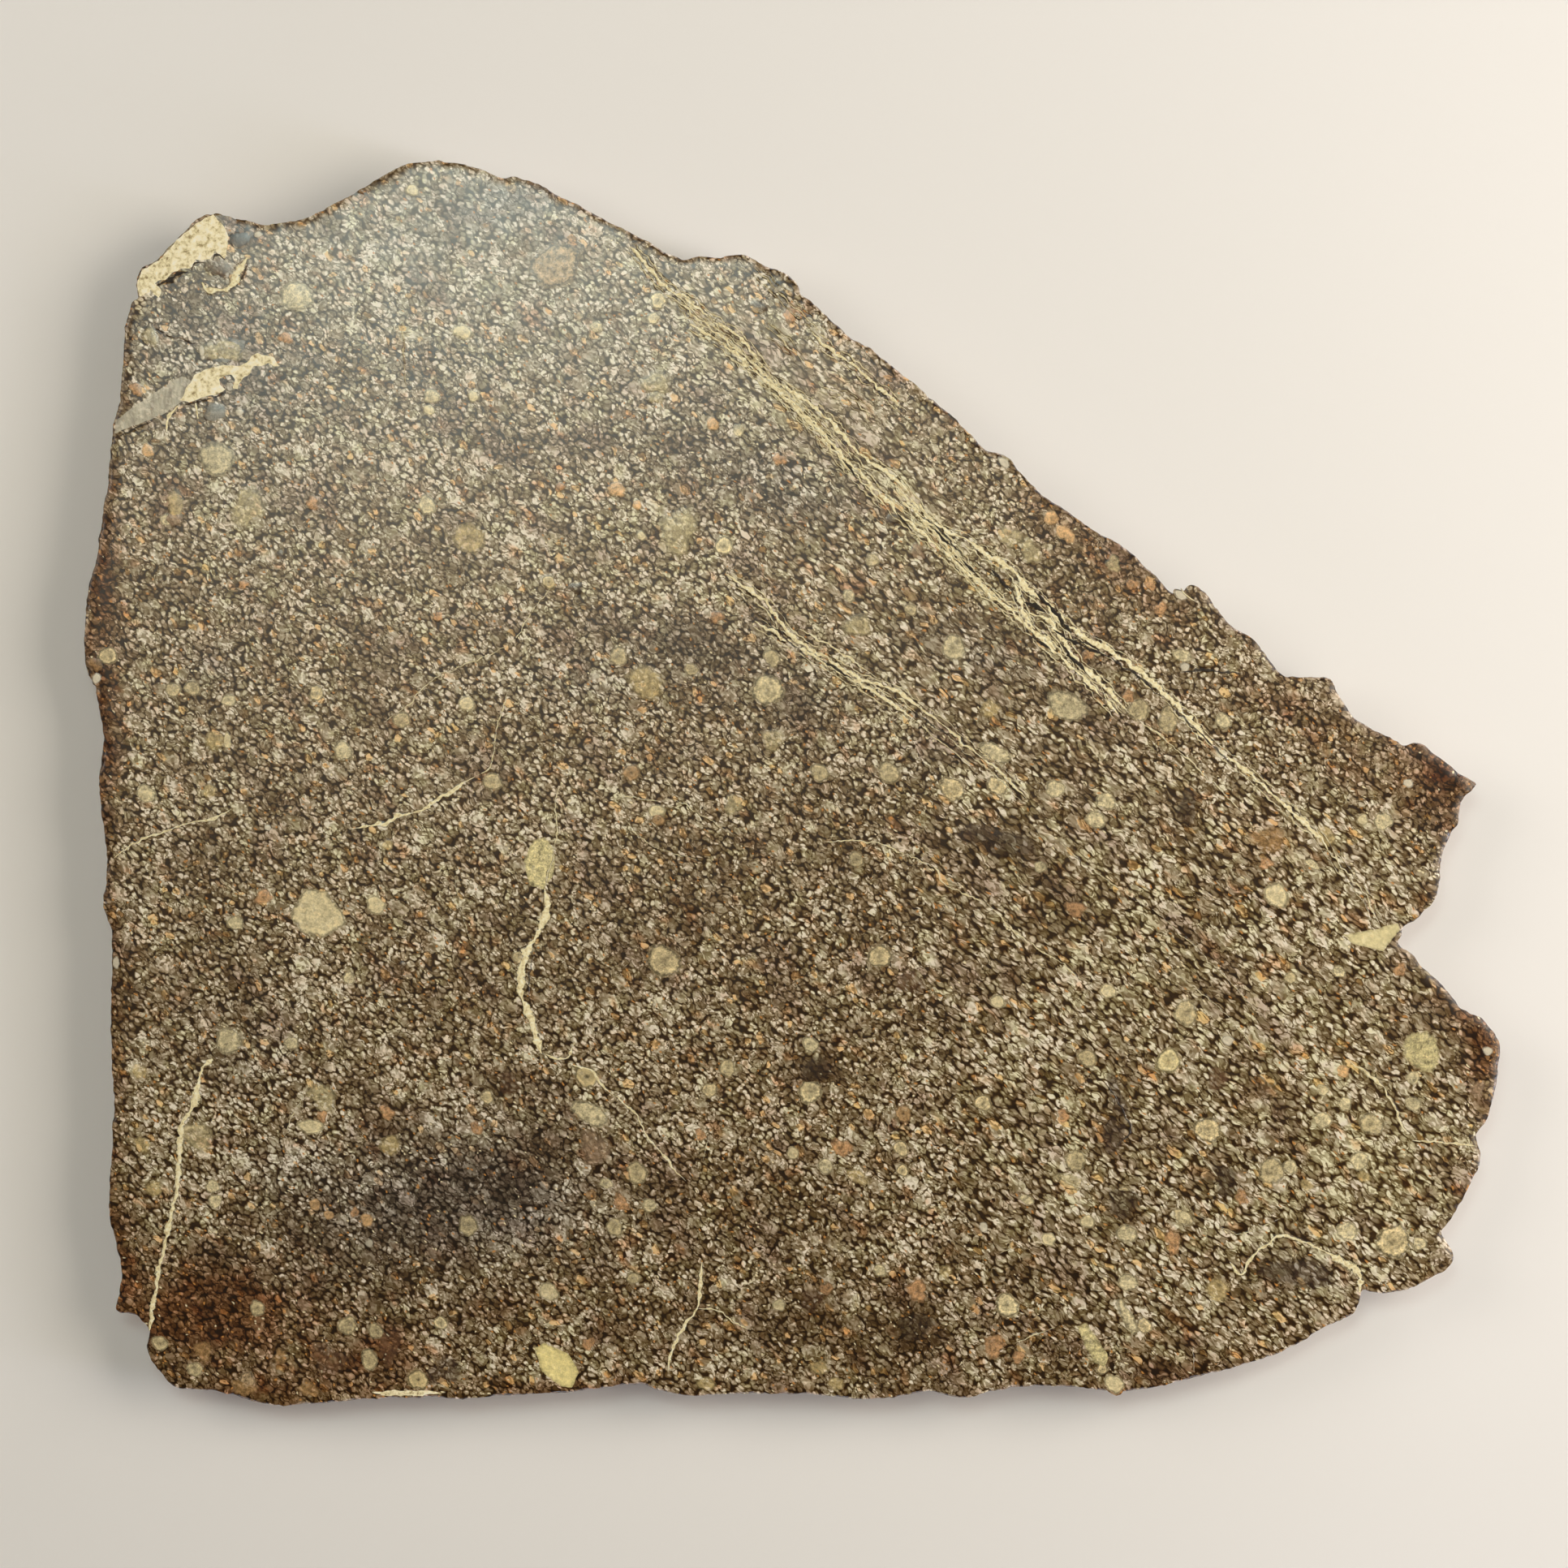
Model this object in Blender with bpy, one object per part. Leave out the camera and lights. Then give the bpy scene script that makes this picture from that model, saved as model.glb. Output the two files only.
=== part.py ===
# A sawn slice of a chondrite meteorite: one flat stone plate, polished on its upper face, lapped on its
# lower face, with the stone's natural weathered skin all the way round as its rim.
# It lies on its lapped face. Metres, +Z up, +X along its long side, origin in the middle underneath.

import math

import bmesh
import bpy
from mathutils import Vector

# Driving sizes of the real slice
SLICE_LENGTH = 0.130
SLICE_THICKNESS = 0.006
SAWN_ARRIS = 0.0003
RIM_SLOPE = 0.0010
RIM_WAVE = 0.00035
RIM_POINT_SPACING = 0.0015
EASING_PASSES = 30

# The rim was read on a picture of the polished face: these are its pixels, across and down
PICTURE_LEFT, PICTURE_RIGHT = 103.6, 1848.0
PICTURE_TOP, PICTURE_BOTTOM = 199.0, 1732.0
METRES_PER_PIXEL = SLICE_LENGTH / (PICTURE_RIGHT - PICTURE_LEFT)

# The rim, clockwise from the pale crusted corner at the upper left
PALE_CORNER_AND_TOP = [
    (250, 265), (259, 263), (272, 264), (295, 270), (325, 276), (354, 274), (383, 265), (413, 250),
    (442, 235), (471, 216), (486, 208), (498, 202), (530, 199), (563, 200), (593, 209), (607, 215),
    (616, 218), (637, 218), (660, 226), (695, 244), (739, 267), (783, 290), (801, 298), (816, 309),
    (842, 319), (860, 316), (886, 317), (912, 313), (933, 322), (948, 329), (966, 336), (978, 345),
    (984, 353), (988, 363), (1000, 372),
]
LONG_UPPER_RIGHT_EDGE = [
    (1046, 414), (1073, 430), (1104, 455), (1153, 495), (1198, 537), (1216, 555), (1234, 559),
    (1247, 568), (1260, 586), (1278, 604), (1332, 642), (1358, 660), (1380, 670), (1421, 707),
    (1438, 725), (1450, 733), (1459, 731), (1463, 723), (1471, 721), (1484, 729), (1500, 750),
    (1517, 771), (1542, 786), (1558, 804), (1580, 832), (1594, 834),
]
RIGHT_SHOULDER_AND_TIP = [
    (1615, 834), (1633, 835), (1642, 840), (1647, 852), (1667, 882), (1679, 892), (1709, 907),
    (1722, 913), (1730, 919), (1744, 916), (1754, 917), (1763, 924), (1790, 947), (1815, 962),
    (1818, 968), (1811, 976), (1801, 987), (1798, 1001), (1796, 1016), (1787, 1030), (1777, 1054),
    (1775, 1075), (1771, 1100), (1763, 1115), (1744, 1134), (1732, 1141), (1727, 1146), (1727, 1152),
    (1723, 1158), (1723, 1163),
]
LOWER_RIGHT_LOBES = [
    (1730, 1169), (1740, 1176), (1751, 1190), (1775, 1211), (1793, 1233), (1801, 1243), (1824, 1254),
    (1834, 1264), (1843, 1275), (1848, 1287), (1848, 1304), (1841, 1350), (1833, 1376), (1824, 1391),
    (1820, 1403), (1825, 1422), (1816, 1451), (1799, 1484), (1782, 1510), (1777, 1519), (1782, 1529),
    (1789, 1541), (1791, 1550), (1786, 1561), (1774, 1569), (1742, 1586), (1722, 1592), (1706, 1594),
    (1690, 1592), (1680, 1590), (1676, 1597), (1673, 1609), (1668, 1618), (1655, 1627), (1638, 1632),
    (1612, 1648), (1588, 1662), (1554, 1675), (1513, 1687),
]
LOWER_EDGE = [
    (1446, 1704), (1417, 1710), (1388, 1715), (1363, 1713), (1305, 1708), (1283, 1708), (1242, 1711),
    (1216, 1716), (1193, 1722), (1171, 1721), (1153, 1715), (1135, 1716), (1082, 1724), (1055, 1724),
    (992, 1718), (903, 1718), (858, 1720), (832, 1718), (787, 1706), (769, 1706), (707, 1715),
    (652, 1718), (593, 1722), (571, 1724), (526, 1722), (446, 1724), (424, 1727), (366, 1731),
    (339, 1732), (312, 1727), (281, 1718), (259, 1713), (214, 1709),
]
LEFT_EDGE = [
    (196, 1689), (183, 1671), (180, 1658), (185, 1640), (176, 1629), (165, 1620), (147, 1617),
    (142, 1612), (144, 1601), (149, 1582), (149, 1560), (138, 1515), (134, 1484), (138, 1403),
    (140, 1359), (136, 1269), (138, 1180), (136, 1149), (127, 1109), (131, 1082), (131, 1055),
    (124, 992), (122, 957), (127, 903), (118, 856), (116, 843), (109, 832), (104, 816), (103.6, 800),
    (104.6, 772), (106, 740), (120, 680), (122, 662), (129, 617), (132, 600), (138, 535), (148, 484),
    (152, 430), (155, 397), (163, 372), (169, 366), (168, 350), (172, 334), (178, 327), (193, 319),
    (222, 290), (237, 275),
]
RIM_PIXELS = (
    PALE_CORNER_AND_TOP + LONG_UPPER_RIGHT_EDGE + RIGHT_SHOULDER_AND_TIP
    + LOWER_RIGHT_LOBES + LOWER_EDGE + LEFT_EDGE
)

# The polished face's overall colour and gloss
STONE_BROWN = (0.27, 0.22, 0.14, 1.0)
POLISHED_ROUGHNESS = 0.3


def pixel_to_metres(pixel):
    """Where a pixel of the picture lies on the slice, with the picture's middle over the origin."""
    across = pixel[0] - (PICTURE_LEFT + PICTURE_RIGHT) / 2
    down = pixel[1] - (PICTURE_TOP + PICTURE_BOTTOM) / 2
    return Vector((across, -down)) * METRES_PER_PIXEL


def curve_between(before, start, end, after, share):
    """A Catmull-Rom curve's point at this share of the way from start to end."""
    slope_in, slope_out = (end - before) / 2, (after - start) / 2
    square, cube = share**2, share**3
    return (
        start * (2 * cube - 3 * square + 1) + slope_in * (cube - 2 * square + share)
        + end * (3 * square - 2 * cube) + slope_out * (cube - square)
    )


def rim_points():
    """The rim as a closed ring of points, anticlockwise from above, never further apart than the spacing."""
    read = [pixel_to_metres(pixel) for pixel in reversed(RIM_PIXELS)]
    ring = []
    for i, start in enumerate(read):
        before, end, after = read[i - 1], read[(i + 1) % len(read)], read[(i + 2) % len(read)]
        steps = max(1, round((end - start).length / RIM_POINT_SPACING))
        ring += [curve_between(before, start, end, after, step / steps) for step in range(steps)]
    return ring


def eased(ring, passes):
    """The ring with its small bumps smoothed away: each pass draws a point halfway to its neighbours'
    middle."""
    for _ in range(passes):
        ring = [(ring[i - 1] + 2 * ring[i] + ring[(i + 1) % len(ring)]) / 4 for i in range(len(ring))]
    return ring


def inward_directions(ring):
    """At each point of the rim, the unit direction into the stone, taken from the eased rim so that it turns
    slowly and the rows drawn in along it never cross themselves."""
    smooth = eased(ring, EASING_PASSES)
    directions = []
    for i in range(len(smooth)):
        along = (smooth[(i + 1) % len(smooth)] - smooth[i - 1]).normalized()
        directions.append(Vector((-along.y, along.x)))
    return directions


def rim_row(ring, inward, height, inset, wave):
    """One height's ring: the rim drawn in by an inset that swells and shrinks in slow waves round it."""
    row = []
    for i, (point, direction) in enumerate(zip(ring, inward)):
        turn = 2 * math.pi * i / len(ring)
        swell = math.sin(7 * turn + 900 * height) + math.sin(19 * turn + 1.3 - 700 * height)
        placed = point + direction * (inset + wave * (1 + swell / 2))
        row.append(Vector((placed.x, placed.y, height)))
    return row


def slice_mesh():
    """Rows of the rim stacked from the lapped face to the polished one, bridged, and closed by two flat
    faces."""
    ring = rim_points()
    inward = inward_directions(ring)
    under_arris = SLICE_THICKNESS - SAWN_ARRIS
    rows = [
        rim_row(ring, inward, 0.0, RIM_SLOPE + SAWN_ARRIS, 0.0),
        rim_row(ring, inward, SAWN_ARRIS, RIM_SLOPE, 0.0),
        rim_row(ring, inward, 0.34 * SLICE_THICKNESS, 0.6 * RIM_SLOPE, RIM_WAVE),
        rim_row(ring, inward, 0.67 * SLICE_THICKNESS, 0.1 * RIM_SLOPE, RIM_WAVE),
        rim_row(ring, inward, under_arris, 0.0, 0.0),
        rim_row(ring, inward, SLICE_THICKNESS, SAWN_ARRIS, 0.0),
    ]
    shape = bmesh.new()
    loops = [[shape.verts.new(point) for point in row] for row in rows]
    shape.faces.new(list(reversed(loops[0])))
    shape.faces.new(loops[-1])
    for lower, upper in zip(loops, loops[1:]):
        for i in range(len(lower)):
            following = (i + 1) % len(lower)
            shape.faces.new((lower[i], lower[following], upper[following], upper[i]))
    bmesh.ops.triangulate(shape, faces=shape.faces, ngon_method="BEAUTY")
    bmesh.ops.recalc_face_normals(shape, faces=shape.faces)
    mesh = bpy.data.meshes.new("meteorite_slice")
    shape.to_mesh(mesh)
    shape.free()
    return mesh


def chondrite_material():
    """Chondritic stone, cut and polished: brown overall, with a soft gloss."""
    material = bpy.data.materials.new("polished chondrite")
    material.use_nodes = True
    finish = material.node_tree.nodes["Principled BSDF"]
    finish.inputs["Base Color"].default_value = STONE_BROWN
    finish.inputs["Roughness"].default_value = POLISHED_ROUGHNESS
    finish.inputs["Metallic"].default_value = 0.0
    return material


for leftover in list(bpy.data.objects):
    bpy.data.objects.remove(leftover)

meteorite_slice = bpy.data.objects.new("meteorite_slice", slice_mesh())
meteorite_slice.data.materials.append(chondrite_material())
meteorite_slice.data.shade_smooth()
meteorite_slice.data.set_sharp_from_angle(angle=math.radians(35))
bpy.context.scene.collection.objects.link(meteorite_slice)
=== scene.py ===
# A sawn and polished slice of a chondrite meteorite, lying on its lapped back on a pale table.
# Metres, +Z up out of the polished face, +X along the slice's long side.
import bpy
import numpy as np
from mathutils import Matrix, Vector
from mathutils.geometry import delaunay_2d_cdt


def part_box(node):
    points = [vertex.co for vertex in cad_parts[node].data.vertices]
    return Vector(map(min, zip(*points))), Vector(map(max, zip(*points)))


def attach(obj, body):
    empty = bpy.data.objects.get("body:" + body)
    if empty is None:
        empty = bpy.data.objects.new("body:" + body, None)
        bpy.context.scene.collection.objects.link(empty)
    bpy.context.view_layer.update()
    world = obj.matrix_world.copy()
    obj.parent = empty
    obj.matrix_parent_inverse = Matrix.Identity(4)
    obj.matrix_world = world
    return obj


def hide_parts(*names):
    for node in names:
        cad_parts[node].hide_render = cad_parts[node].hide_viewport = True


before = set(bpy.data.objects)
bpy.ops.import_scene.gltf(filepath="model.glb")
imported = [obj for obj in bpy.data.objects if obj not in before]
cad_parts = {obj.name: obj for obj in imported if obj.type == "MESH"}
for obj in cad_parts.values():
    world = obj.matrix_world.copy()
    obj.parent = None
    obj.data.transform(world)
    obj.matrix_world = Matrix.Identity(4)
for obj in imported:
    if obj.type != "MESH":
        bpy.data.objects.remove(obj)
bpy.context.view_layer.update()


# The slice of stone: one plate sawn out of a meteorite of packed chondrules, millimetre beads of rock
# that froze in space. Its face is ground and polished, its back is only lapped, and round its rim it
# keeps the broken, desert-worn skin of the whole stone.
MM = 0.001
face_low, face_high = (np.array(corner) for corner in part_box("meteorite_slice"))
FACE_HEIGHT = face_high[2]
SAWN_ARRIS = 0.3 * MM
RIM_SLOPE = 1.0 * MM
RIM_STEP = 0.22 * MM
FACE_GRID = 0.85 * MM

# Places on the slice are read on a picture of its face: these are that picture's pixels
PICTURE_SIDE = 1932
PICTURE_LEFT, PICTURE_RIGHT = 103.6, 1848.0
PICTURE_MIDDLE = np.array([975.8, 965.5])
METRES_PER_PIXEL = (face_high[0] - face_low[0]) / (PICTURE_RIGHT - PICTURE_LEFT)


def on_face(pixels):
    """Pixels across and down become metres across and up, about the picture's middle."""
    return (np.asarray(pixels, float) - PICTURE_MIDDLE) * [METRES_PER_PIXEL, -METRES_PER_PIXEL]


def widest_ring(mesh):
    """The rim's outermost row, anticlockwise from above. Each triangle of the band above it has one edge on
    the row. An edge's follower is the one that starts nearest its end, and doubling the jump from edge to
    edge puts all in order."""
    mesh.calc_loop_triangles()
    points = np.empty(len(mesh.vertices) * 3)
    mesh.vertices.foreach_get("co", points)
    corners = np.empty(len(mesh.loop_triangles) * 3, int)
    mesh.loop_triangles.foreach_get("vertices", corners)
    triangles = points.reshape(-1, 3)[corners.reshape(-1, 3)]
    above_row = triangles[..., 2] - (FACE_HEIGHT - SAWN_ARRIS)
    on_row = abs(above_row) < 0.02 * MM
    band = (on_row.sum(1) == 2) & (above_row.max(1) > 0.02 * MM)
    triangles, on_row = triangles[band], on_row[band]
    each, apex = np.arange(len(triangles)), np.argmin(on_row, axis=1)
    start, end = triangles[each, (apex + 1) % 3, :2], triangles[each, (apex + 2) % 3, :2]
    jump = ((end[:, None] - start[None]) ** 2).sum(2).argmin(1)
    order = np.array([0])
    while len(order) < len(start):
        order = np.concatenate([order, jump[order]])
        jump = jump[jump]
    return start[order[: len(start)]]


def smooth_path(points, step, closed=False):
    """Evenly spaced points on a Catmull-Rom curve: each span's cubic weighs its two ends and their two
    neighbours, and the fine points are then read off at equal lengths along the curve."""
    if closed:
        before, start, end, after = (np.roll(points, turn, axis=0) for turn in (1, 0, -1, -2))
    else:
        padded = np.concatenate([2 * points[:1] - points[1:2], points, 2 * points[-1:] - points[-2:-1]])
        before, start, end, after = padded[:-3], padded[1:-2], padded[2:-1], padded[3:]
    t = (np.arange(16) / 16)[None, :, None]
    weights = (-t + 2 * t**2 - t**3, 2 - 5 * t**2 + 3 * t**3, t + 4 * t**2 - 3 * t**3, t**3 - t**2)
    fine = sum(w * p[:, None] for w, p in zip(weights, (before, start, end, after))) / 2
    fine = np.concatenate([fine.reshape(-1, 2), points[:1] if closed else points[-1:]])
    length = np.concatenate([[0], np.cumsum(np.linalg.norm(np.diff(fine, axis=0), axis=1))])
    count = max(3, round(length[-1] / step))
    stops = np.linspace(0, length[-1], count + closed)[: count]
    return np.stack([np.interp(stops, length, fine[:, axis]) for axis in (0, 1)], axis=1)


def waves(along, longest, shortest, seed, count=24):
    """Smooth random ups and downs between about -1 and 1: the sum of sines of lengths from longest to
    shortest, each as high as the root of its length."""
    draw = np.random.default_rng(seed)
    lengths = np.geomspace(longest, shortest, count)
    heights = np.sqrt(lengths) / np.sqrt(lengths.sum())
    phases = draw.uniform(0, 2 * np.pi, count)
    return (heights * np.sin(2 * np.pi * np.asarray(along)[..., None] / lengths + phases)).sum(-1)


def lumps(points, longest, shortest, seed, count=40):
    """The same in space: plane waves in random directions, added up at each point."""
    draw = np.random.default_rng(seed)
    lengths = np.geomspace(longest, shortest, count)
    directions = draw.normal(size=(count, 3))
    directions /= np.linalg.norm(directions, axis=1, keepdims=True)
    heights = np.sqrt(lengths) / np.sqrt(lengths.sum())
    phases = draw.uniform(0, 2 * np.pi, count)
    return (heights * np.sin(2 * np.pi * (points @ directions.T) / lengths + phases)).sum(-1)


def eased(ring, reach):
    """A closed ring with everything shorter than the reach smoothed out, by a bell filter on its waves."""
    turns = np.fft.fftfreq(len(ring), RIM_STEP)
    keep = np.exp(-2 * (np.pi * turns * reach) ** 2)
    return np.stack([np.fft.ifft(np.fft.fft(ring[:, axis]) * keep).real for axis in (0, 1)], axis=1)


def outward(ring):
    """At each point of a ring, the unit direction square to its run, out of the stone."""
    run = np.roll(ring, -1, axis=0) - np.roll(ring, 1, axis=0)
    run /= np.linalg.norm(run, axis=1, keepdims=True)
    return np.stack([run[:, 1], -run[:, 0]], axis=1)


def rim_distance(points, ring):
    """How far points lie inside the rim, negative outside: the nearest rim point's distance, and a count of
    how often the rim crosses the line from the point to the right."""
    found = np.empty(len(points))
    a, b = ring, np.roll(ring, -1, axis=0)
    for part in np.array_split(np.arange(len(points)), max(1, len(points) // 2000)):
        x, y = points[part, :1], points[part, 1:2]
        near = np.sqrt(((x - a[:, 0]) ** 2 + (y - a[:, 1]) ** 2).min(1))
        spans = (a[:, 1] > y) != (b[:, 1] > y)
        crossing = a[:, 0] + (y - a[:, 1]) * (b[:, 0] - a[:, 0]) / np.where(spans, b[:, 1] - a[:, 1], 1)
        inside = (spans & (x < crossing)).sum(1) % 2 == 1
        found[part] = np.where(inside, near, -near)
    return found


def filled(ring, inner):
    """Triangles over the area inside a ring, through the inner points, as indices into ring then inner."""
    points = np.concatenate([ring, inner]) / MM
    edges = [(i, (i + 1) % len(ring)) for i in range(len(ring))]
    _, _, triangles, origins, _, _ = delaunay_2d_cdt(points.tolist(), edges, [], 1, 1e-7)
    origin = np.array([found[0] for found in origins])
    return origin[np.array(triangles)]


def grid_inside(ring, step, margin, seed):
    """Points on a jittered honeycomb inside a ring, none nearer to it than the margin."""
    low, high = ring.min(0), ring.max(0)
    x, y = np.meshgrid(np.arange(low[0], high[0], step), np.arange(low[1], high[1], step * 0.866))
    x[1::2] += step / 2
    points = np.stack([x.ravel(), y.ravel()], axis=1)
    points += np.random.default_rng(seed).uniform(-0.15, 0.15, points.shape) * step
    return points[rim_distance(points, ring) > margin]


# The rim, with the small bumps of a broken edge on top of the outline that the frame gives
rim = smooth_path(widest_ring(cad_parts["meteorite_slice"].data), RIM_STEP, closed=True)
rim_run = np.arange(len(rim)) * RIM_STEP
rim += outward(eased(rim, 0.6 * MM)) * (0.05 * MM * waves(rim_run, 5 * MM, 0.6 * MM, 1))[:, None]
inward = -outward(eased(rim, 3.5 * MM))

# The rim's profile, from the polished face down to the lapped back: (height, how far in) of each row.
# The upper arris is a quarter round of uneven width, the wall leans in, and a smaller arris ends it.
arris = SAWN_ARRIS * (0.75 + 0.5 * waves(rim_run, 9 * MM, 0.7 * MM, 2))
turn = np.radians([0, 30, 60, 90])[:, None]
top_rows = FACE_HEIGHT - arris * (1 - np.cos(turn))
top_insets = arris * (1 - np.sin(turn))
wall_share = np.linspace(0, 1, 13)[1:-1, None]
wall_rows = (FACE_HEIGHT - SAWN_ARRIS) * (1 - wall_share) + 0.2 * MM * wall_share
wall_insets = RIM_SLOPE * wall_share**1.3
foot_rows = np.array([[0.15], [0.05], [0.0]]) * MM
foot_insets = RIM_SLOPE + np.array([[0.05], [0.14], [0.3]]) * MM
heights, insets = (
    np.concatenate([np.broadcast_to(rows, (len(rows), len(rim))) for rows in parts])
    for parts in ((top_rows, wall_rows, foot_rows), (top_insets, wall_insets, foot_insets))
)
wall = np.concatenate([rim + inward * insets[..., None], heights[..., None]], axis=2)

# Broken stone is lumpy: the wall moves in and out, least at the two sawn faces
free = np.clip(np.minimum(FACE_HEIGHT - heights - SAWN_ARRIS, heights * 1.5) / (1.5 * MM), 0, 1)
rough = 0.45 * lumps(wall, 7 * MM, 1.2 * MM, 3) + 0.18 * lumps(wall, 1.4 * MM, 0.45 * MM, 4)
wall[..., :2] += inward[None] * (np.maximum(free * (0.35 - rough) * MM, -insets))[..., None]

rows, around = wall.shape[:2]
ring_index = np.arange(rows * around).reshape(rows, around)
a, b = ring_index[:-1], ring_index[1:]
wall_faces = np.stack([a, b, np.roll(b, -1, axis=1), np.roll(a, -1, axis=1)], axis=2).reshape(-1, 4)
face_ring, back_ring = wall[0, :, :2], wall[-1, :, :2]
face_inner = grid_inside(face_ring, FACE_GRID, 0.45 * MM, 5)
back_inner = grid_inside(back_ring, 2 * FACE_GRID, 0.9 * MM, 6)
first_inner = rows * around
face_index = np.concatenate([ring_index[0], first_inner + np.arange(len(face_inner))])
back_index = np.concatenate([ring_index[-1], first_inner + len(face_inner) + np.arange(len(back_inner))])
face_triangles = face_index[filled(face_ring, face_inner)]
back_triangles = back_index[filled(back_ring, back_inner)][:, ::-1]
stone_points = np.concatenate([
    wall.reshape(-1, 3),
    np.column_stack([face_inner, np.full(len(face_inner), FACE_HEIGHT)]),
    np.column_stack([back_inner, np.zeros(len(back_inner))]),
])


def mesh_object(name, points, faces):
    """A mesh object from arrays: faces is a list of index arrays, one for each count of corners. It is
    smooth, with a sharp edge wherever it turns by more than 50 degrees."""
    mesh = bpy.data.meshes.new(name)
    sizes = np.concatenate([np.full(len(part), part.shape[1]) for part in faces])
    mesh.vertices.add(len(points))
    mesh.vertices.foreach_set("co", points.astype(np.float32).ravel())
    mesh.loops.add(int(sizes.sum()))
    mesh.loops.foreach_set("vertex_index", np.concatenate([part.ravel() for part in faces]).astype(np.int32))
    mesh.polygons.add(len(sizes))
    mesh.polygons.foreach_set("loop_start", (np.cumsum(sizes) - sizes).astype(np.int32))
    mesh.polygons.foreach_set("use_smooth", np.ones(len(sizes), bool))
    mesh.update(calc_edges=True)
    mesh.set_sharp_from_angle(angle=np.radians(50))
    made = bpy.data.objects.new(name, mesh)
    bpy.context.scene.collection.objects.link(made)
    return made


stone = mesh_object("stone_slice", stone_points, [wall_faces, face_triangles, back_triangles])
arris_faces = 3 * around
slots = np.repeat(
    [0, 1, 0, 2], [arris_faces, len(wall_faces) - arris_faces, len(face_triangles), len(back_triangles)]
)
stone.data.polygons.foreach_set("material_index", slots.astype(np.int32))

# Stains and patches in the stone, some of them also a painted sheen, each a soft oval: pixels across and
# down, half width, half height, turn in degrees clockwise, strength
DARK_PATCHES = [
    (855, 785, 75, 32, 15, 0.8), (760, 770, 45, 20, 10, 0.4), (905, 870, 45, 25, 30, 0.4),
    (560, 1470, 190, 80, -20, 0.5), (440, 1560, 140, 60, 10, 0.5), (690, 1560, 120, 60, 0, 0.35),
    (420, 1330, 50, 40, 0, 0.25), (510, 1270, 70, 50, 0, 0.35), (630, 1335, 60, 30, 0, 0.5),
    (650, 1440, 120, 50, 0, 0.35), (1230, 1040, 62, 28, 8, 0.95), (1310, 1125, 60, 45, 30, 0.6),
    (1180, 1120, 60, 40, 0, 0.35), (1006, 1318, 30, 26, 0, 1.0), (1131, 1635, 32, 26, 0, 1.0),
    (1000, 1600, 40, 60, -20, 0.6), (1255, 1572, 34, 14, 0, 0.8), (1385, 1480, 45, 36, 0, 0.6),
    (1376, 1365, 22, 40, 10, 0.8), (1507, 1454, 36, 26, -20, 0.9), (1463, 996, 18, 28, 0, 0.9),
    (1290, 850, 90, 60, 30, 0.25), (1260, 1655, 80, 40, 0, 0.3), (1590, 1572, 52, 28, 0, 0.45),
    (1180, 790, 80, 40, 20, 0.3), (250, 550, 50, 50, 0, 0.35), (1290, 900, 50, 30, 30, 0.3),
    (860, 1100, 80, 50, 0, 0.3), (1130, 1240, 70, 40, 0, 0.35), (880, 1210, 70, 40, 20, 0.3),
    (1250, 755, 50, 50, 40, 0.65), (640, 760, 60, 22, 0, 0.35), (1040, 1070, 60, 30, 10, 0.3),
    (545, 1630, 110, 40, 0, 0.3), (900, 1640, 100, 50, 0, 0.35), (955, 622, 70, 24, 15, 0.5),
    (620, 250, 50, 30, 0, 0.25), (230, 385, 50, 34, 0, 0.35), (1320, 1660, 60, 24, 0, 0.3),
    (160, 395, 20, 40, 0, 0.4), (1000, 1500, 230, 160, 0, 0.3), (250, 1240, 150, 110, 0, 0.4),
    (1000, 1000, 150, 160, 0, 0.25), (240, 1060, 50, 50, 0, 0.3), (755, 1150, 60, 80, 0, 0.4),
    (1750, 1270, 50, 120, 0, 0.55), (1670, 1060, 50, 50, 0, 0.4), (1350, 790, 60, 50, 30, 0.35),
    (1450, 850, 60, 50, 30, 0.3), (1080, 850, 90, 40, 30, 0.25), (250, 350, 50, 40, 0, 0.3),
    (370, 1470, 60, 50, 0, 0.3), (1150, 1670, 60, 40, 0, 0.3), (1050, 1655, 60, 45, 0, 0.45),
    (830, 1650, 90, 50, 0, 0.25), (550, 1150, 50, 50, 0, 0.3), (1050, 1150, 50, 50, 0, 0.35),
    (850, 1050, 50, 50, 0, 0.4), (1350, 860, 50, 40, 0, 0.3), (1000, 860, 90, 40, 0, 0.25),
    (240, 1060, 50, 60, 0, 0.25), (690, 1270, 90, 50, 0, 0.25), (950, 1450, 50, 50, 0, 0.35),
    (1750, 1440, 50, 60, 0, 0.3),
]
RUST_PATCHES = [
    (250, 1620, 90, 70, 20, 0.9), (300, 1610, 110, 45, 0, 0.6), (450, 1675, 90, 40, 0, 0.7),
    (140, 1560, 26, 90, 0, 0.8), (130, 900, 22, 150, 0, 0.7), (128, 700, 24, 110, 0, 0.7),
    (135, 1250, 18, 160, 0, 0.5), (215, 630, 35, 35, 0, 0.4), (1770, 965, 60, 45, 30, 0.8),
    (1830, 1300, 26, 60, 0, 0.9), (1800, 1250, 40, 24, 40, 0.6), (1310, 655, 60, 25, 38, 0.5),
    (1400, 725, 80, 22, 40, 0.5), (1590, 870, 60, 26, 20, 0.5), (1563, 1035, 40, 34, 0, 0.5),
    (1660, 940, 50, 30, 30, 0.4), (700, 1712, 160, 16, 0, 0.4), (1450, 1690, 90, 16, -10, 0.4),
    (1560, 1350, 60, 30, 0, 0.25), (535, 1450, 22, 18, 0, 0.6), (640, 1450, 24, 40, 0, 0.5),
    (530, 1505, 60, 24, 0, 0.4), (480, 1655, 26, 20, 0, 0.6), (610, 1612, 40, 20, 0, 0.5),
    (755, 1640, 40, 18, 0, 0.4), (330, 1715, 80, 16, 0, 0.6), (300, 290, 30, 12, 10, 0.7),
]
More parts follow.
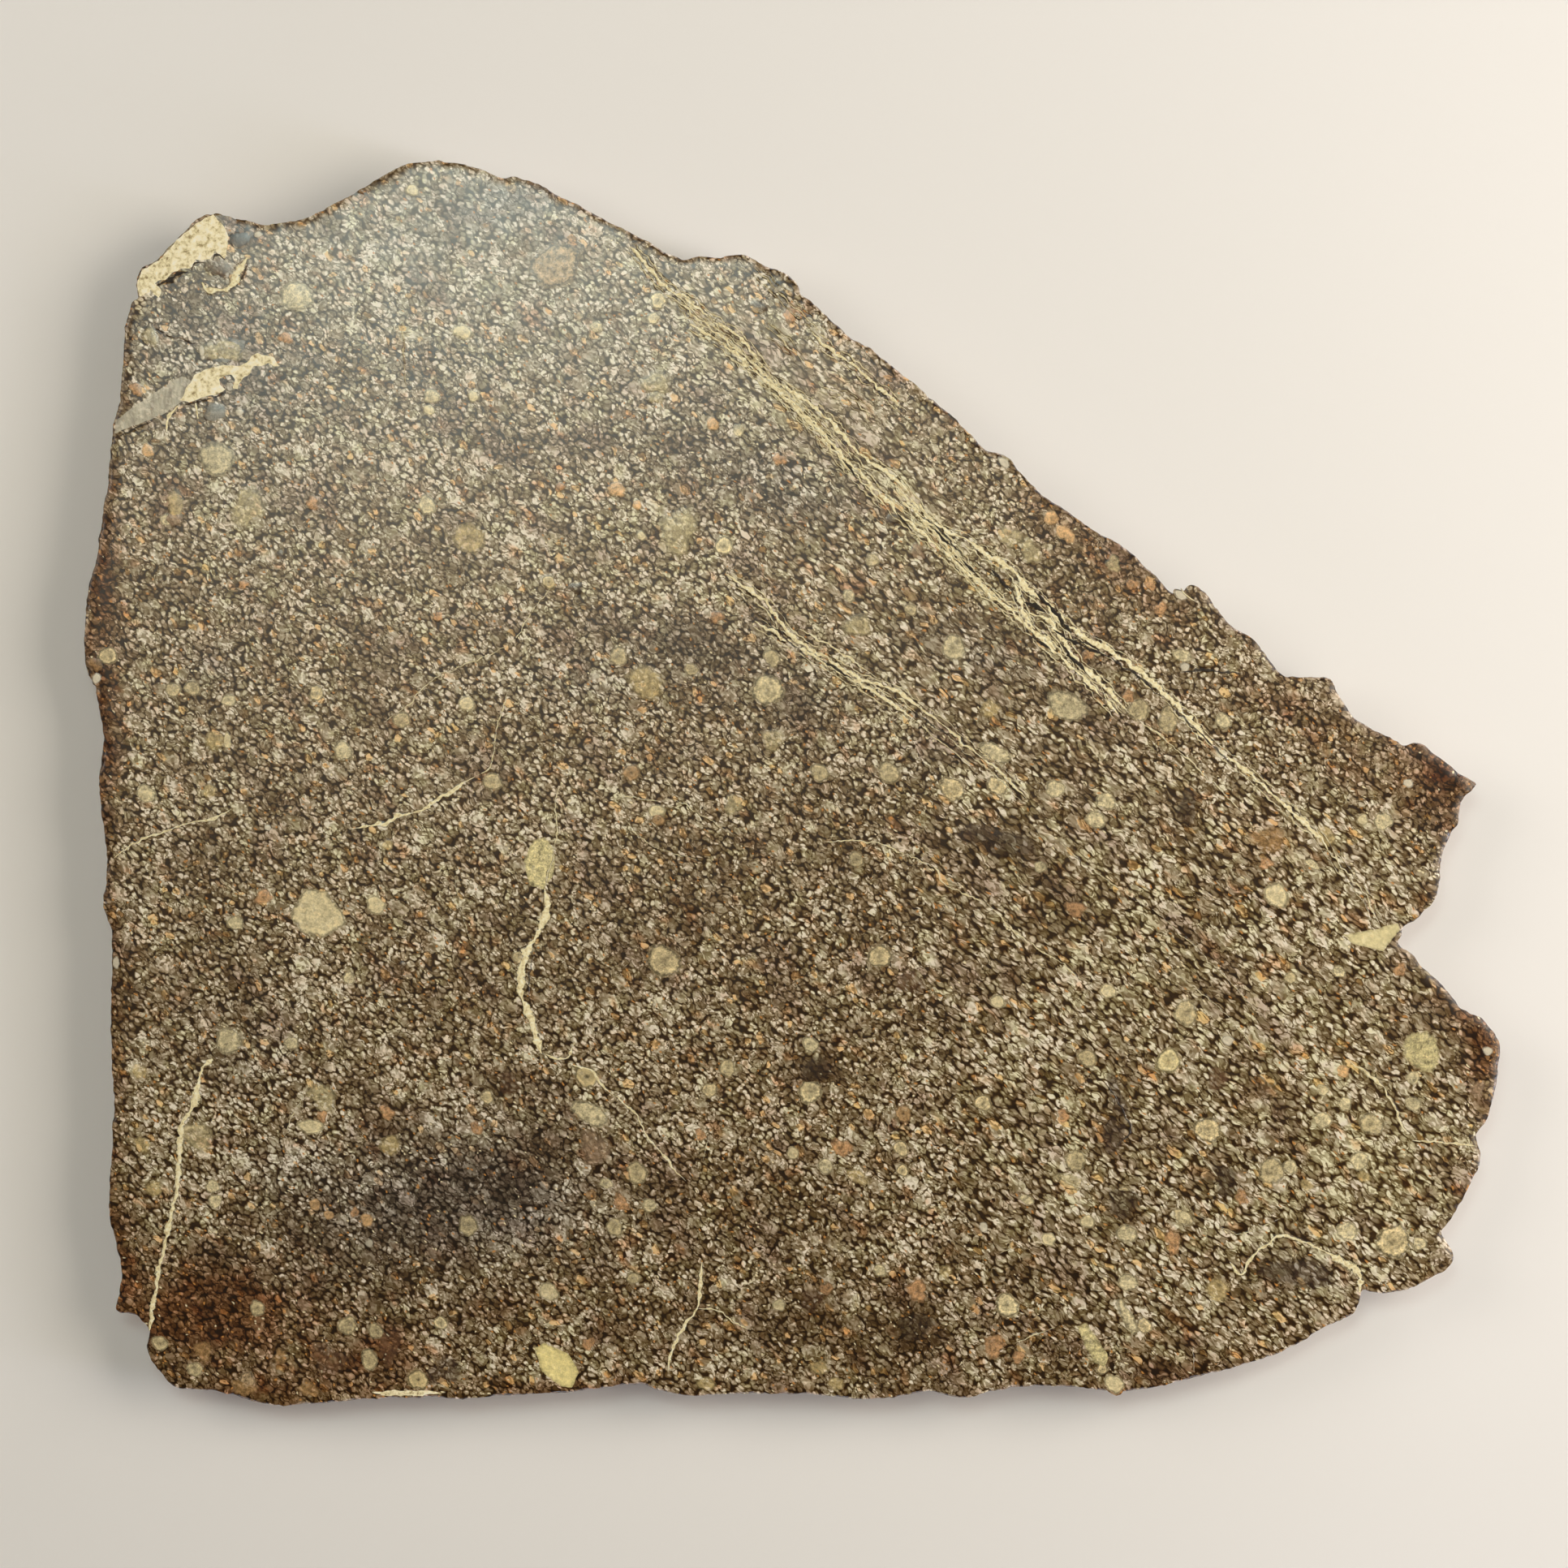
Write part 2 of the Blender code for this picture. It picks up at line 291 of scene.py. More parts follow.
# Bluish-grey patches: partly blue-grey stone, and near the top of the face a painted sheen's grey-blue cast
COOL_AND_SHEEN_PATCHES = [
    (520, 1465, 170, 80, -20, 0.8), (360, 1440, 60, 40, 0, 0.4), (640, 1480, 60, 40, 0, 0.6),
    (700, 400, 120, 60, 20, 0.2), (480, 300, 90, 60, 0, 0.3), (720, 840, 60, 30, 0, 0.4),
    (1200, 800, 90, 30, 15, 0.4), (1600, 1565, 50, 26, 0, 0.4), (1010, 600, 60, 26, 15, 0.2),
    (265, 825, 30, 26, 0, 0.5), (300, 470, 70, 60, 0, 0.5), (220, 430, 50, 50, 0, 0.4),
    (620, 250, 60, 34, 0, 1.0), (860, 540, 120, 60, 20, 0.2), (960, 600, 90, 40, 20, 0.5),
    (850, 800, 110, 40, 10, 0.5), (600, 1500, 150, 60, 0, 0.5), (310, 1300, 80, 60, 0, 0.3),
    (990, 860, 60, 40, 0, 0.3), (1130, 930, 60, 40, 0, 0.25),
]
# Olive patches: the stone's own olive colour; the brightening they also give is partly a painted sheen on the
# right of the face
OLIVE_AND_SHEEN_PATCHES = [
    (1700, 1420, 110, 80, 20, 0.8), (1450, 1200, 260, 120, 38, 0.5), (1560, 1500, 160, 60, 0, 0.5),
    (1650, 1050, 70, 60, 0, 0.4), (1020, 560, 190, 40, 42, 0.7), (1220, 720, 190, 34, 42, 0.7),
    (1050, 850, 230, 34, 36, 0.5), (300, 640, 80, 50, 0, 0.3), (1300, 1380, 120, 80, 38, 0.4),
    (700, 680, 80, 60, 0, 0.25), (800, 655, 90, 50, 0, 0.5), (1270, 1620, 90, 30, 0, 0.3),
]
# Pale patches: partly paler stone, and over the top of the face a painted sheen that lightens it and flattens
# its contrast
PALE_AND_SHEEN_PATCHES = [
    (560, 260, 220, 110, 0, 0.9), (330, 330, 120, 60, 0, 0.5), (700, 380, 200, 90, 20, 0.6),
    (540, 600, 420, 150, 5, 0.4), (600, 960, 90, 50, 0, 0.25), (450, 850, 60, 60, 0, 0.25),
    (500, 1350, 80, 50, 0, 0.25), (1600, 1300, 80, 80, 0, 0.25), (1350, 1050, 60, 50, 0, 0.3),
    (960, 430, 170, 50, 38, 0.7), (1130, 620, 180, 40, 45, 0.4), (1700, 1420, 110, 90, 20, 0.3),
    (190, 1320, 60, 90, 0, 0.25), (1650, 1080, 80, 60, 30, 0.25), (240, 430, 110, 70, 0, 0.2),
]
STREAKED_PATCHES = [
    (1500, 1450, 330, 260, 0, 1.3), (1300, 1100, 260, 200, 38, 0.9), (1650, 1150, 160, 200, 0, 1.0),
    (1000, 500, 260, 60, 42, 1.2), (1150, 800, 330, 70, 38, 1.0),
]


def in_patches(points, patches):
    """How deep each point lies in soft ovals: each is a bell, exp(-(u*u + v*v)) on its own turned axes, and
    the whole is their sum held at 1."""
    across, down, half_width, half_height, degrees, strength = np.array(patches, float).T
    middles = on_face(np.stack([across, down], axis=1))
    lean = -np.radians(degrees)
    total = np.zeros(len(points))
    for i in range(len(patches)):
        x, y = (points[:, :2] - middles[i]).T / METRES_PER_PIXEL
        u = (x * np.cos(lean[i]) + y * np.sin(lean[i])) / half_width[i]
        v = (y * np.cos(lean[i]) - x * np.sin(lean[i])) / half_height[i]
        total += strength[i] * np.exp(-(u * u + v * v))
    return np.minimum(total, 1)


STAINS_AND_SHEEN = {
    "dark": DARK_PATCHES, "rust": RUST_PATCHES, "cool_and_sheen": COOL_AND_SHEEN_PATCHES, "olive": OLIVE_AND_SHEEN_PATCHES,
    "pale": PALE_AND_SHEEN_PATCHES, "streaked": STREAKED_PATCHES,
}


def give(piece, name, values):
    """A number at each vertex, or a colour where there are four."""
    kind, field = ("FLOAT", "value") if values.ndim == 1 else ("FLOAT_COLOR", "color")
    layer = piece.data.attributes.new(name, kind, "POINT")
    layer.data.foreach_set(field, values.astype(np.float32).ravel())


def give_stains_and_sheen(piece):
    """Each vertex of a piece learns how deep it lies in each patch, real stains and painted sheen alike, and
    rust also creeps in from the rim.
    """
    points = np.empty(len(piece.data.vertices) * 3)
    piece.data.vertices.foreach_get("co", points)
    points = points.reshape(-1, 3)
    skin = np.exp(-np.clip(rim_distance(points[:, :2], rim), 0, 1) / (0.9 * MM))
    for name, patches in STAINS_AND_SHEEN.items():
        depth = in_patches(points, patches)
        give(piece, name, np.minimum(1, depth + 0.3 * skin) if name == "rust" else depth)


give_stains_and_sheen(stone)


def linear(hex_colour):
    """An sRGB hex colour as linear light, with full alpha."""
    parts = [int(hex_colour[i:i + 2], 16) / 255 for i in (1, 3, 5)]
    return [c / 12.92 if c <= 0.04045 else ((c + 0.055) / 1.055) ** 2.4 for c in parts] + [1.0]


def feed(tree, node, inputs):
    """Fills a node's sockets, by name or number, or in order from a tuple: each takes a constant, another
    node's output, or a node, which stands for its first output."""
    for name, value in inputs.items() if isinstance(inputs, dict) else enumerate(inputs):
        if isinstance(value, bpy.types.Node):
            value = value.outputs[0]
        if isinstance(value, bpy.types.NodeSocket):
            tree.links.new(value, node.inputs[name])
        else:
            node.inputs[name].default_value = value


def put(tree, kind, inputs=(), operation=None, stops=(), **settings):
    """Adds one node to a tree, with its sockets fed, its operation and other settings, and the places and
    colours of a ramp's stops."""
    made = tree.nodes.new("ShaderNode" + kind)
    if operation:
        settings["operation"] = operation
    for name, value in settings.items():
        setattr(made, name, value)
    feed(tree, made, inputs)
    for i, (place, colour) in enumerate(stops):
        stop = made.color_ramp.elements[i] if i < 2 else made.color_ramp.elements.new(place)
        stop.position = place
        stop.color = linear(colour)
    return made


# The stone's tones, from the darkest gaps between beads to the brightest beads: the darker, the browner
STONE_TONES = [
    (0.00, "#0e0500"), (0.15, "#382309"), (0.32, "#604c2b"), (0.50, "#87775a"), (0.68, "#a99d84"),
    (0.84, "#cdc3ac"), (1.00, "#f0e8d8"),
]


def millimetres(tree):
    """A piece's own coordinates, in millimetres."""
    place = put(tree, "TexCoord").outputs["Object"]
    return put(tree, "VectorMath", {0: place, "Scale": 1 / MM}, "SCALE").outputs[0]


def chondrite_pattern():
    """The cut stone as a group of nodes: beads of four sizes, each a round Voronoi cell with a dark outline,
    packed in a dark matrix. They make one tone, which a ramp turns to colour, and the piece's own attributes
    of stains and painted sheen then tint it. All places are millimetres."""
    tree = bpy.data.node_groups.new("chondrite_pattern", "ShaderNodeTree")
    for name, kind in (("Colour", "NodeSocketColor"), ("Roughness", "NodeSocketFloat")):
        tree.interface.new_socket(name, in_out="OUTPUT", socket_type=kind)
    stain_and_sheen = {}
    for name in STAINS_AND_SHEEN:
        stain_and_sheen[name] = put(tree, "Attribute", attribute_name=name).outputs["Fac"]
    place = millimetres(tree)

    # The back shows another cut through the beads: 30 mm of shift for each mm of height, up to just below
    # the polished face
    lean = put(tree, "SeparateXYZ", (place,)).outputs[2]
    lean = put(tree, "Math", (lean, 5.6), "MINIMUM")
    lean = put(tree, "CombineXYZ", (lean,))
    place = put(tree, "VectorMath", (lean, (30.0, 0.0, 0.0), place), "MULTIPLY_ADD")

    # Broad mottling over 7 mm and 2 mm, used for brightness, hue and the edges of stains
    broad = put(tree, "TexNoise", {"Vector": place, "Scale": 1 / 7, "Detail": 3.0, "Roughness": 0.6},
                noise_dimensions="2D")
    mottle = put(tree, "TexNoise", {"Vector": place, "Scale": 1 / 2, "Detail": 2.0, "Roughness": 0.6},
                 noise_dimensions="2D")
    mottle_parts = put(tree, "SeparateColor", (mottle.outputs["Color"],))

    # The beads are squeezed along the stone's grain: a little everywhere, and more in the streaked parts
    bend = put(tree, "VectorMath", (mottle.outputs["Color"], (0.5, 0.5, 0.5)), "SUBTRACT")
    place = put(tree, "VectorMath", (bend, (0.8, 0.8, 0.8), place), "MULTIPLY_ADD")
    turned = put(tree, "Mapping", {"Vector": place, "Rotation": (0.0, 0.0, np.radians(40))})
    edge = put(tree, "Math", (mottle_parts.outputs[1], stain_and_sheen["streaked"]), "ADD")
    streaked = put(tree, "Math", (edge, 0.98), "GREATER_THAN")
    squeeze = put(tree, "MapRange", (streaked, 0.0, 1.0, 0.76, 0.52))
    squeeze = put(tree, "CombineXYZ", (squeeze, 1.18, 1.0))
    place = put(tree, "VectorMath", (turned, squeeze), "MULTIPLY")

    # Crumbs of 0.2 mm lie in the matrix and speckle everything a little
    crumbs = put(tree, "TexVoronoi", {"Vector": place, "Scale": 1 / 0.2}, voronoi_dimensions="2D")
    crumb_parts = put(tree, "SeparateColor", (crumbs.outputs["Color"],))
    crumb_body = put(tree, "MapRange", (crumbs.outputs["Distance"], 0.2, 0.7, 1.0, 0.0))

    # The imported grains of 0.42 mm: each fades from its middle to a dark gap, a few bright and most middling
    grains = put(tree, "TexVoronoi", {"Vector": place, "Scale": 1 / 0.42}, voronoi_dimensions="2D")
    grain_parts = put(tree, "SeparateColor", (grains.outputs["Color"],))
    own = put(tree, "Math", (grain_parts, 1.5), "POWER")
    own = put(tree, "MapRange", (own, 0.0, 1.0, 0.38, 0.90))
    body = put(tree, "MapRange", (grains.outputs["Distance"], 0.28, 0.72, 1.0, 0.0),
               interpolation_type="SMOOTHSTEP")
    tone = put(tree, "Mix", {0: body, 2: 0.08, 3: own})

    # Three sizes of beads among them: cell size in mm, least and most radius as a share of the cell, the
    # share of cells that hold a bead, lowest and highest tone, where the dark outline starts, and the share
    # of the beads that is rusted orange
    orange = 0.0
    for cell, least, most, share, low, high, outline, rusted in (
        (0.72, 0.30, 0.48, 0.45, 0.42, 0.98, 0.62, 0.10),
        (1.30, 0.22, 0.36, 0.42, 0.48, 0.90, 0.74, 0.06),
        (2.60, 0.20, 0.30, 0.50, 0.56, 0.84, 0.82, 0.0),
    ):
        beads = put(tree, "TexVoronoi", {"Vector": place, "Scale": 1 / cell}, voronoi_dimensions="2D")
        draw = put(tree, "SeparateColor", (beads.outputs["Color"],))
        radius = put(tree, "MapRange", (draw.outputs[2], 0.0, 1.0, least, most))
        depth = put(tree, "Math", (beads.outputs["Distance"], radius), "DIVIDE")
        depth = put(tree, "Math", (crumb_body, -0.25, depth), "MULTIPLY_ADD")
        body = put(tree, "MapRange", (depth, 0.92, 1.06, 1.0, 0.0), interpolation_type="SMOOTHSTEP")
        held = put(tree, "Math", (draw.outputs[1], share), "LESS_THAN")
        body = put(tree, "Math", (body, held), "MULTIPLY")
        own = put(tree, "Math", (draw, 1.5), "POWER")
        own = put(tree, "MapRange", (own, 0.0, 1.0, low, high))
        own = put(tree, "Mix", {0: 0.24, 2: own, 3: tone})
        shade = put(tree, "MapRange", (depth, outline, 0.96, 1.0, 0.20), interpolation_type="SMOOTHSTEP")
        own = put(tree, "Math", (own, shade), "MULTIPLY")
        tone = put(tree, "Mix", {0: body, 2: tone, 3: own})
        few = put(tree, "Math", (draw.outputs[1], rusted * share), "LESS_THAN")
        few = put(tree, "Math", (body, few), "MULTIPLY")
        orange = put(tree, "Math", (orange, few), "MAXIMUM")
    speckle = put(tree, "MapRange", (crumb_parts.outputs[1], 0.0, 1.0, 0.66, 1.68))
    tone = put(tree, "Math", (tone, speckle), "MULTIPLY")

    # Brightness drifts with the broad mottling, rises in the pale parts, partly paler stone and partly a
    # painted sheen, and falls in the dark patches, whose edges are ragged
    drift = put(tree, "MapRange", (broad, 0.3, 0.7, 0.86, 1.12))
    drift = put(tree, "Math", (stain_and_sheen["pale"], 0.22, drift), "MULTIPLY_ADD")
    # The olive parts are brighter too: partly their own colour, partly a painted sheen
    drift = put(tree, "Math", (stain_and_sheen["olive"], 0.12, drift), "MULTIPLY_ADD")
    ragged = put(tree, "Math", (mottle_parts, stain_and_sheen["dark"]), "ADD")
    ragged = put(tree, "MapRange", (ragged, 0.62, 1.45, 0.0, 0.38))
    drift = put(tree, "Math", (drift, ragged), "SUBTRACT")
    tone = put(tree, "Math", (tone, drift), "MULTIPLY")
    rusty = put(tree, "Math", (stain_and_sheen["rust"], -0.27, 1.0), "MULTIPLY_ADD")
    tone = put(tree, "Math", (tone, rusty), "MULTIPLY")
    lit = put(tree, "Math", (orange, 0.22, 1.0), "MULTIPLY_ADD")
    tone = put(tree, "Math", (tone, lit), "MULTIPLY")
    # In the pale parts the tone is also pulled toward a middle tone, which flattens its contrast: a painted
    # sheen
    painted_sheen_veil = put(tree, "Math", (stain_and_sheen["pale"], 0.32), "MULTIPLY")
    tone = put(tree, "Mix", {0: painted_sheen_veil, 2: tone, 3: 0.56})
    colour = put(tree, "ValToRGB", (tone,), stops=STONE_TONES)

    # Hue drifts between pinkish brown and olive over a few millimetres, and cools in the dark patches
    leaning = put(tree, "Math", (stain_and_sheen["olive"], 0.25, mottle_parts.outputs[2]), "MULTIPLY_ADD")
    hue = put(tree, "ValToRGB", (leaning,), stops=[(0.30, "#fff8f1"), (0.50, "#ffffff"), (0.72, "#f9fcea")])
    colour = put(tree, "VectorMath", (colour, hue), "MULTIPLY")

    # Iron rust stains the stone orange brown, most near the rim, and everywhere in ragged spots of 1.6 mm;
    # other patches of 4 mm are violet brown. Mix numbers its colour sockets 6 and 7, and its output 2
    stained = put(tree, "Math", (mottle_parts.outputs[1], stain_and_sheen["rust"]), "ADD")
    stained = put(tree, "MapRange", (stained, 0.55, 1.45))
    spots = [stained, orange]
    for size, least, most in ((1.6, 0.62, 0.74), (4.0, 0.54, 0.70)):
        spot = put(tree, "TexNoise", {"Vector": place, "Scale": 1 / size, "Detail": 1.0, "Roughness": 0.5})
        spots.append(put(tree, "MapRange", (spot, least, most)))
    tints = ("#cfa488", "#ffe4b8", "#fbdfc6", "#d8ccc8")
    for share, tint in (*zip(spots, tints), (ragged, "#d4c6cd")):
        tinted = put(tree, "Mix", {0: share, 6: (1.0, 1.0, 1.0, 1.0), 7: linear(tint)}, data_type="RGBA")
        colour = put(tree, "VectorMath", (colour, tinted.outputs[2]), "MULTIPLY")

    # Some parts are grey with a trace of blue: partly blue-grey stone, partly a painted sheen near the top
    grey = put(tree, "RGBToBW", (colour,))
    grey = put(tree, "VectorMath", {0: linear("#fbfdff")[:3], "Scale": grey}, "SCALE")
    cool_and_sheen = put(tree, "Math", (stain_and_sheen["cool_and_sheen"], 0.42), "MULTIPLY")
    colour = put(tree, "Mix", {0: cool_and_sheen, 6: colour, 7: grey}, data_type="RGBA").outputs[2]

    # Orange rust specks and white specks of 0.2 mm, a few in every hundred crumbs
    for draw, most, speck in ((2, 0.012, "#c58b4a"), (1, 0.008, "#f3e6c0")):
        chosen = put(tree, "Math", (crumb_parts.outputs[draw], most), "LESS_THAN")
        chosen = put(tree, "Math", (chosen, crumb_body), "MULTIPLY")
        colour = put(tree, "Mix", {0: chosen, 6: colour, 7: linear(speck)}, data_type="RGBA").outputs[2]

    gloss = put(tree, "MapRange", (mottle_parts, 0.3, 0.7, 0.20, 0.26))
    feed(tree, tree.nodes.new("NodeGroupOutput"), {"Colour": colour, "Roughness": gloss})
    return tree


pattern = chondrite_pattern()


def new_material(name):
    """An empty material of that name, its tree, and its Principled shader."""
    material = bpy.data.materials.new(name)
    material.use_nodes = True
    return material, material.node_tree, material.node_tree.nodes["Principled BSDF"]


def polished_chondrite():
    """Silicate stone ground flat and polished: dark matrix, tan beads, and a soft reflection over all."""
    material, tree, shader = new_material("polished_chondrite")
    stone_look = put(tree, "Group", node_tree=pattern)
    feed(tree, shader, {"Base Color": stone_look, "Roughness": stone_look.outputs["Roughness"]})
    shader.inputs["IOR"].default_value = 1.6
    return material


def weathered_rim():
    """Broken stone darkened by desert varnish, matt, with the beads still showing faintly through."""
    material, tree, shader = new_material("weathered_rim")
    stone_look = put(tree, "Group", node_tree=pattern)
    place = put(tree, "TexCoord").outputs["Object"]
    # The varnish lies in blotches of 1.7 mm over grains of 0.4 mm
    crust = put(tree, "TexNoise", {"Vector": place, "Scale": 0.6 / MM, "Detail": 4.0})
    tones = [(0.35, "#2e2114"), (0.5, "#5c452b"), (0.68, "#8f7750")]
    varnish = put(tree, "ValToRGB", (crust,), stops=tones)
    colour = put(tree, "Mix", {0: 0.55, 6: stone_look.outputs["Colour"], 7: varnish},
                 data_type="RGBA").outputs[2]
    shader.inputs["Roughness"].default_value = 0.62
    grain = put(tree, "TexNoise", {"Vector": place, "Scale": 2.5 / MM, "Detail": 3.0})
    relief = put(tree, "Bump", {"Height": grain, "Distance": 0.1 * MM, "Strength": 0.6})
    feed(tree, shader, {"Base Color": colour, "Normal": relief})
    return material


def lapped_back():
    """The same stone cut and lapped, not polished: greyer and matt, with the saw's faint parallel marks."""
    material, tree, shader = new_material("lapped_back")
    stone_look = put(tree, "Group", node_tree=pattern)
    dust = put(tree, "Mix", {0: 0.35, 6: stone_look.outputs["Colour"], 7: linear("#8a8172")},
               data_type="RGBA").outputs[2]
    shader.inputs["Roughness"].default_value = 0.6
    place = put(tree, "TexCoord").outputs["Object"]
    # The saw's marks lie 2.6 mm apart, because a wave of scale 1 has about 3.2 bands to the unit
    marks = put(tree, "TexWave", {"Vector": place, "Scale": 0.12 / MM, "Distortion": 1.5, "Detail": 3.0})
    relief = put(tree, "Bump", {"Height": marks.outputs[1], "Distance": 0.02 * MM, "Strength": 0.4})
    feed(tree, shader, {"Base Color": dust, "Normal": relief})
    return material


for material in (polished_chondrite(), weathered_rim(), lapped_back()):
    stone.data.materials.append(material)
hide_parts("meteorite_slice")
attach(stone, "root")


# The large beads: chondrules a millimetre or more across and broken pieces of others, which show one by
# one. They froze in the stone and are ground flush with it, so each is a thin lens sunk in the face.

# A kind's look: its tint, then how strongly it shows a dark outline, a pale inner ring, a grainy filling
# and a dark core.
BEAD_KINDS = {
    "tan": ("#c8b990", 0.8, 0.5, 0.8, 0.2),
    "tan ring": ("#d5c498", 1.0, 1.0, 0.8, 0.6),
    "brown ring": ("#b49c78", 1.0, 0.8, 1.0, 0.0),
    "pale": ("#dccfa6", 0.8, 0.4, 0.8, 0.1),
    "pale ring": ("#e2d3a6", 1.0, 1.2, 0.7, 0.7),
    "cream": ("#e8daae", 0.8, 0.2, 0.5, 0.0),
    "white": ("#e2dac4", 0.8, 0.0, 0.2, 0.0),
    "yellow": ("#dcc68d", 0.7, 0.4, 0.8, 0.1),
    "gold": ("#b59160", 0.4, 0.2, 0.9, 0.0),
    "orange": ("#c79b6e", 0.5, 0.3, 0.9, 0.0),
    "bright orange": ("#e6bc86", 0.4, 0.0, 0.7, 0.0),
    "orange ring": ("#ab8a60", 0.8, 1.0, 0.6, 0.9),
    "olive": ("#d4c698", 0.7, 0.5, 0.8, 0.1),
    "green ring": ("#d9cb9a", 1.0, 1.0, 0.6, 0.6),
    "pink": ("#b69a7c", 0.5, 0.1, 0.7, 0.0),
    "hollow": ("#cdbb8c", 1.0, 1.0, 0.5, 1.0),
    "rust": ("#6a4c37", 0.3, 0.0, 0.9, 0.0),
    "dark": ("#46362d", 0.1, 0.0, 0.9, 0.0),
    "grey": ("#8b8980", 0.3, 0.0, 0.6, 0.0),
    "mottled": ("#e8dca4", 0.3, 0.0, 0.9, 0.0),
    "slate": ("#5e5e5b", 0.3, 0.0, 0.6, 0.0),
    "honey": ("#fff0a8", 0.3, 0.0, 0.3, 0.0),
    "smooth": ("#f0e4b0", 0.2, 0.0, 0.2, 0.0),
}

# Kinds whose outline is uneven, and kinds through which the stone shows half
UNEVEN_KINDS = ["gold", "orange", "olive", "rust", "dark", "pink"]
FAINT_KINDS = ["gold", "rust", "dark", "pink", "olive", "yellow"]

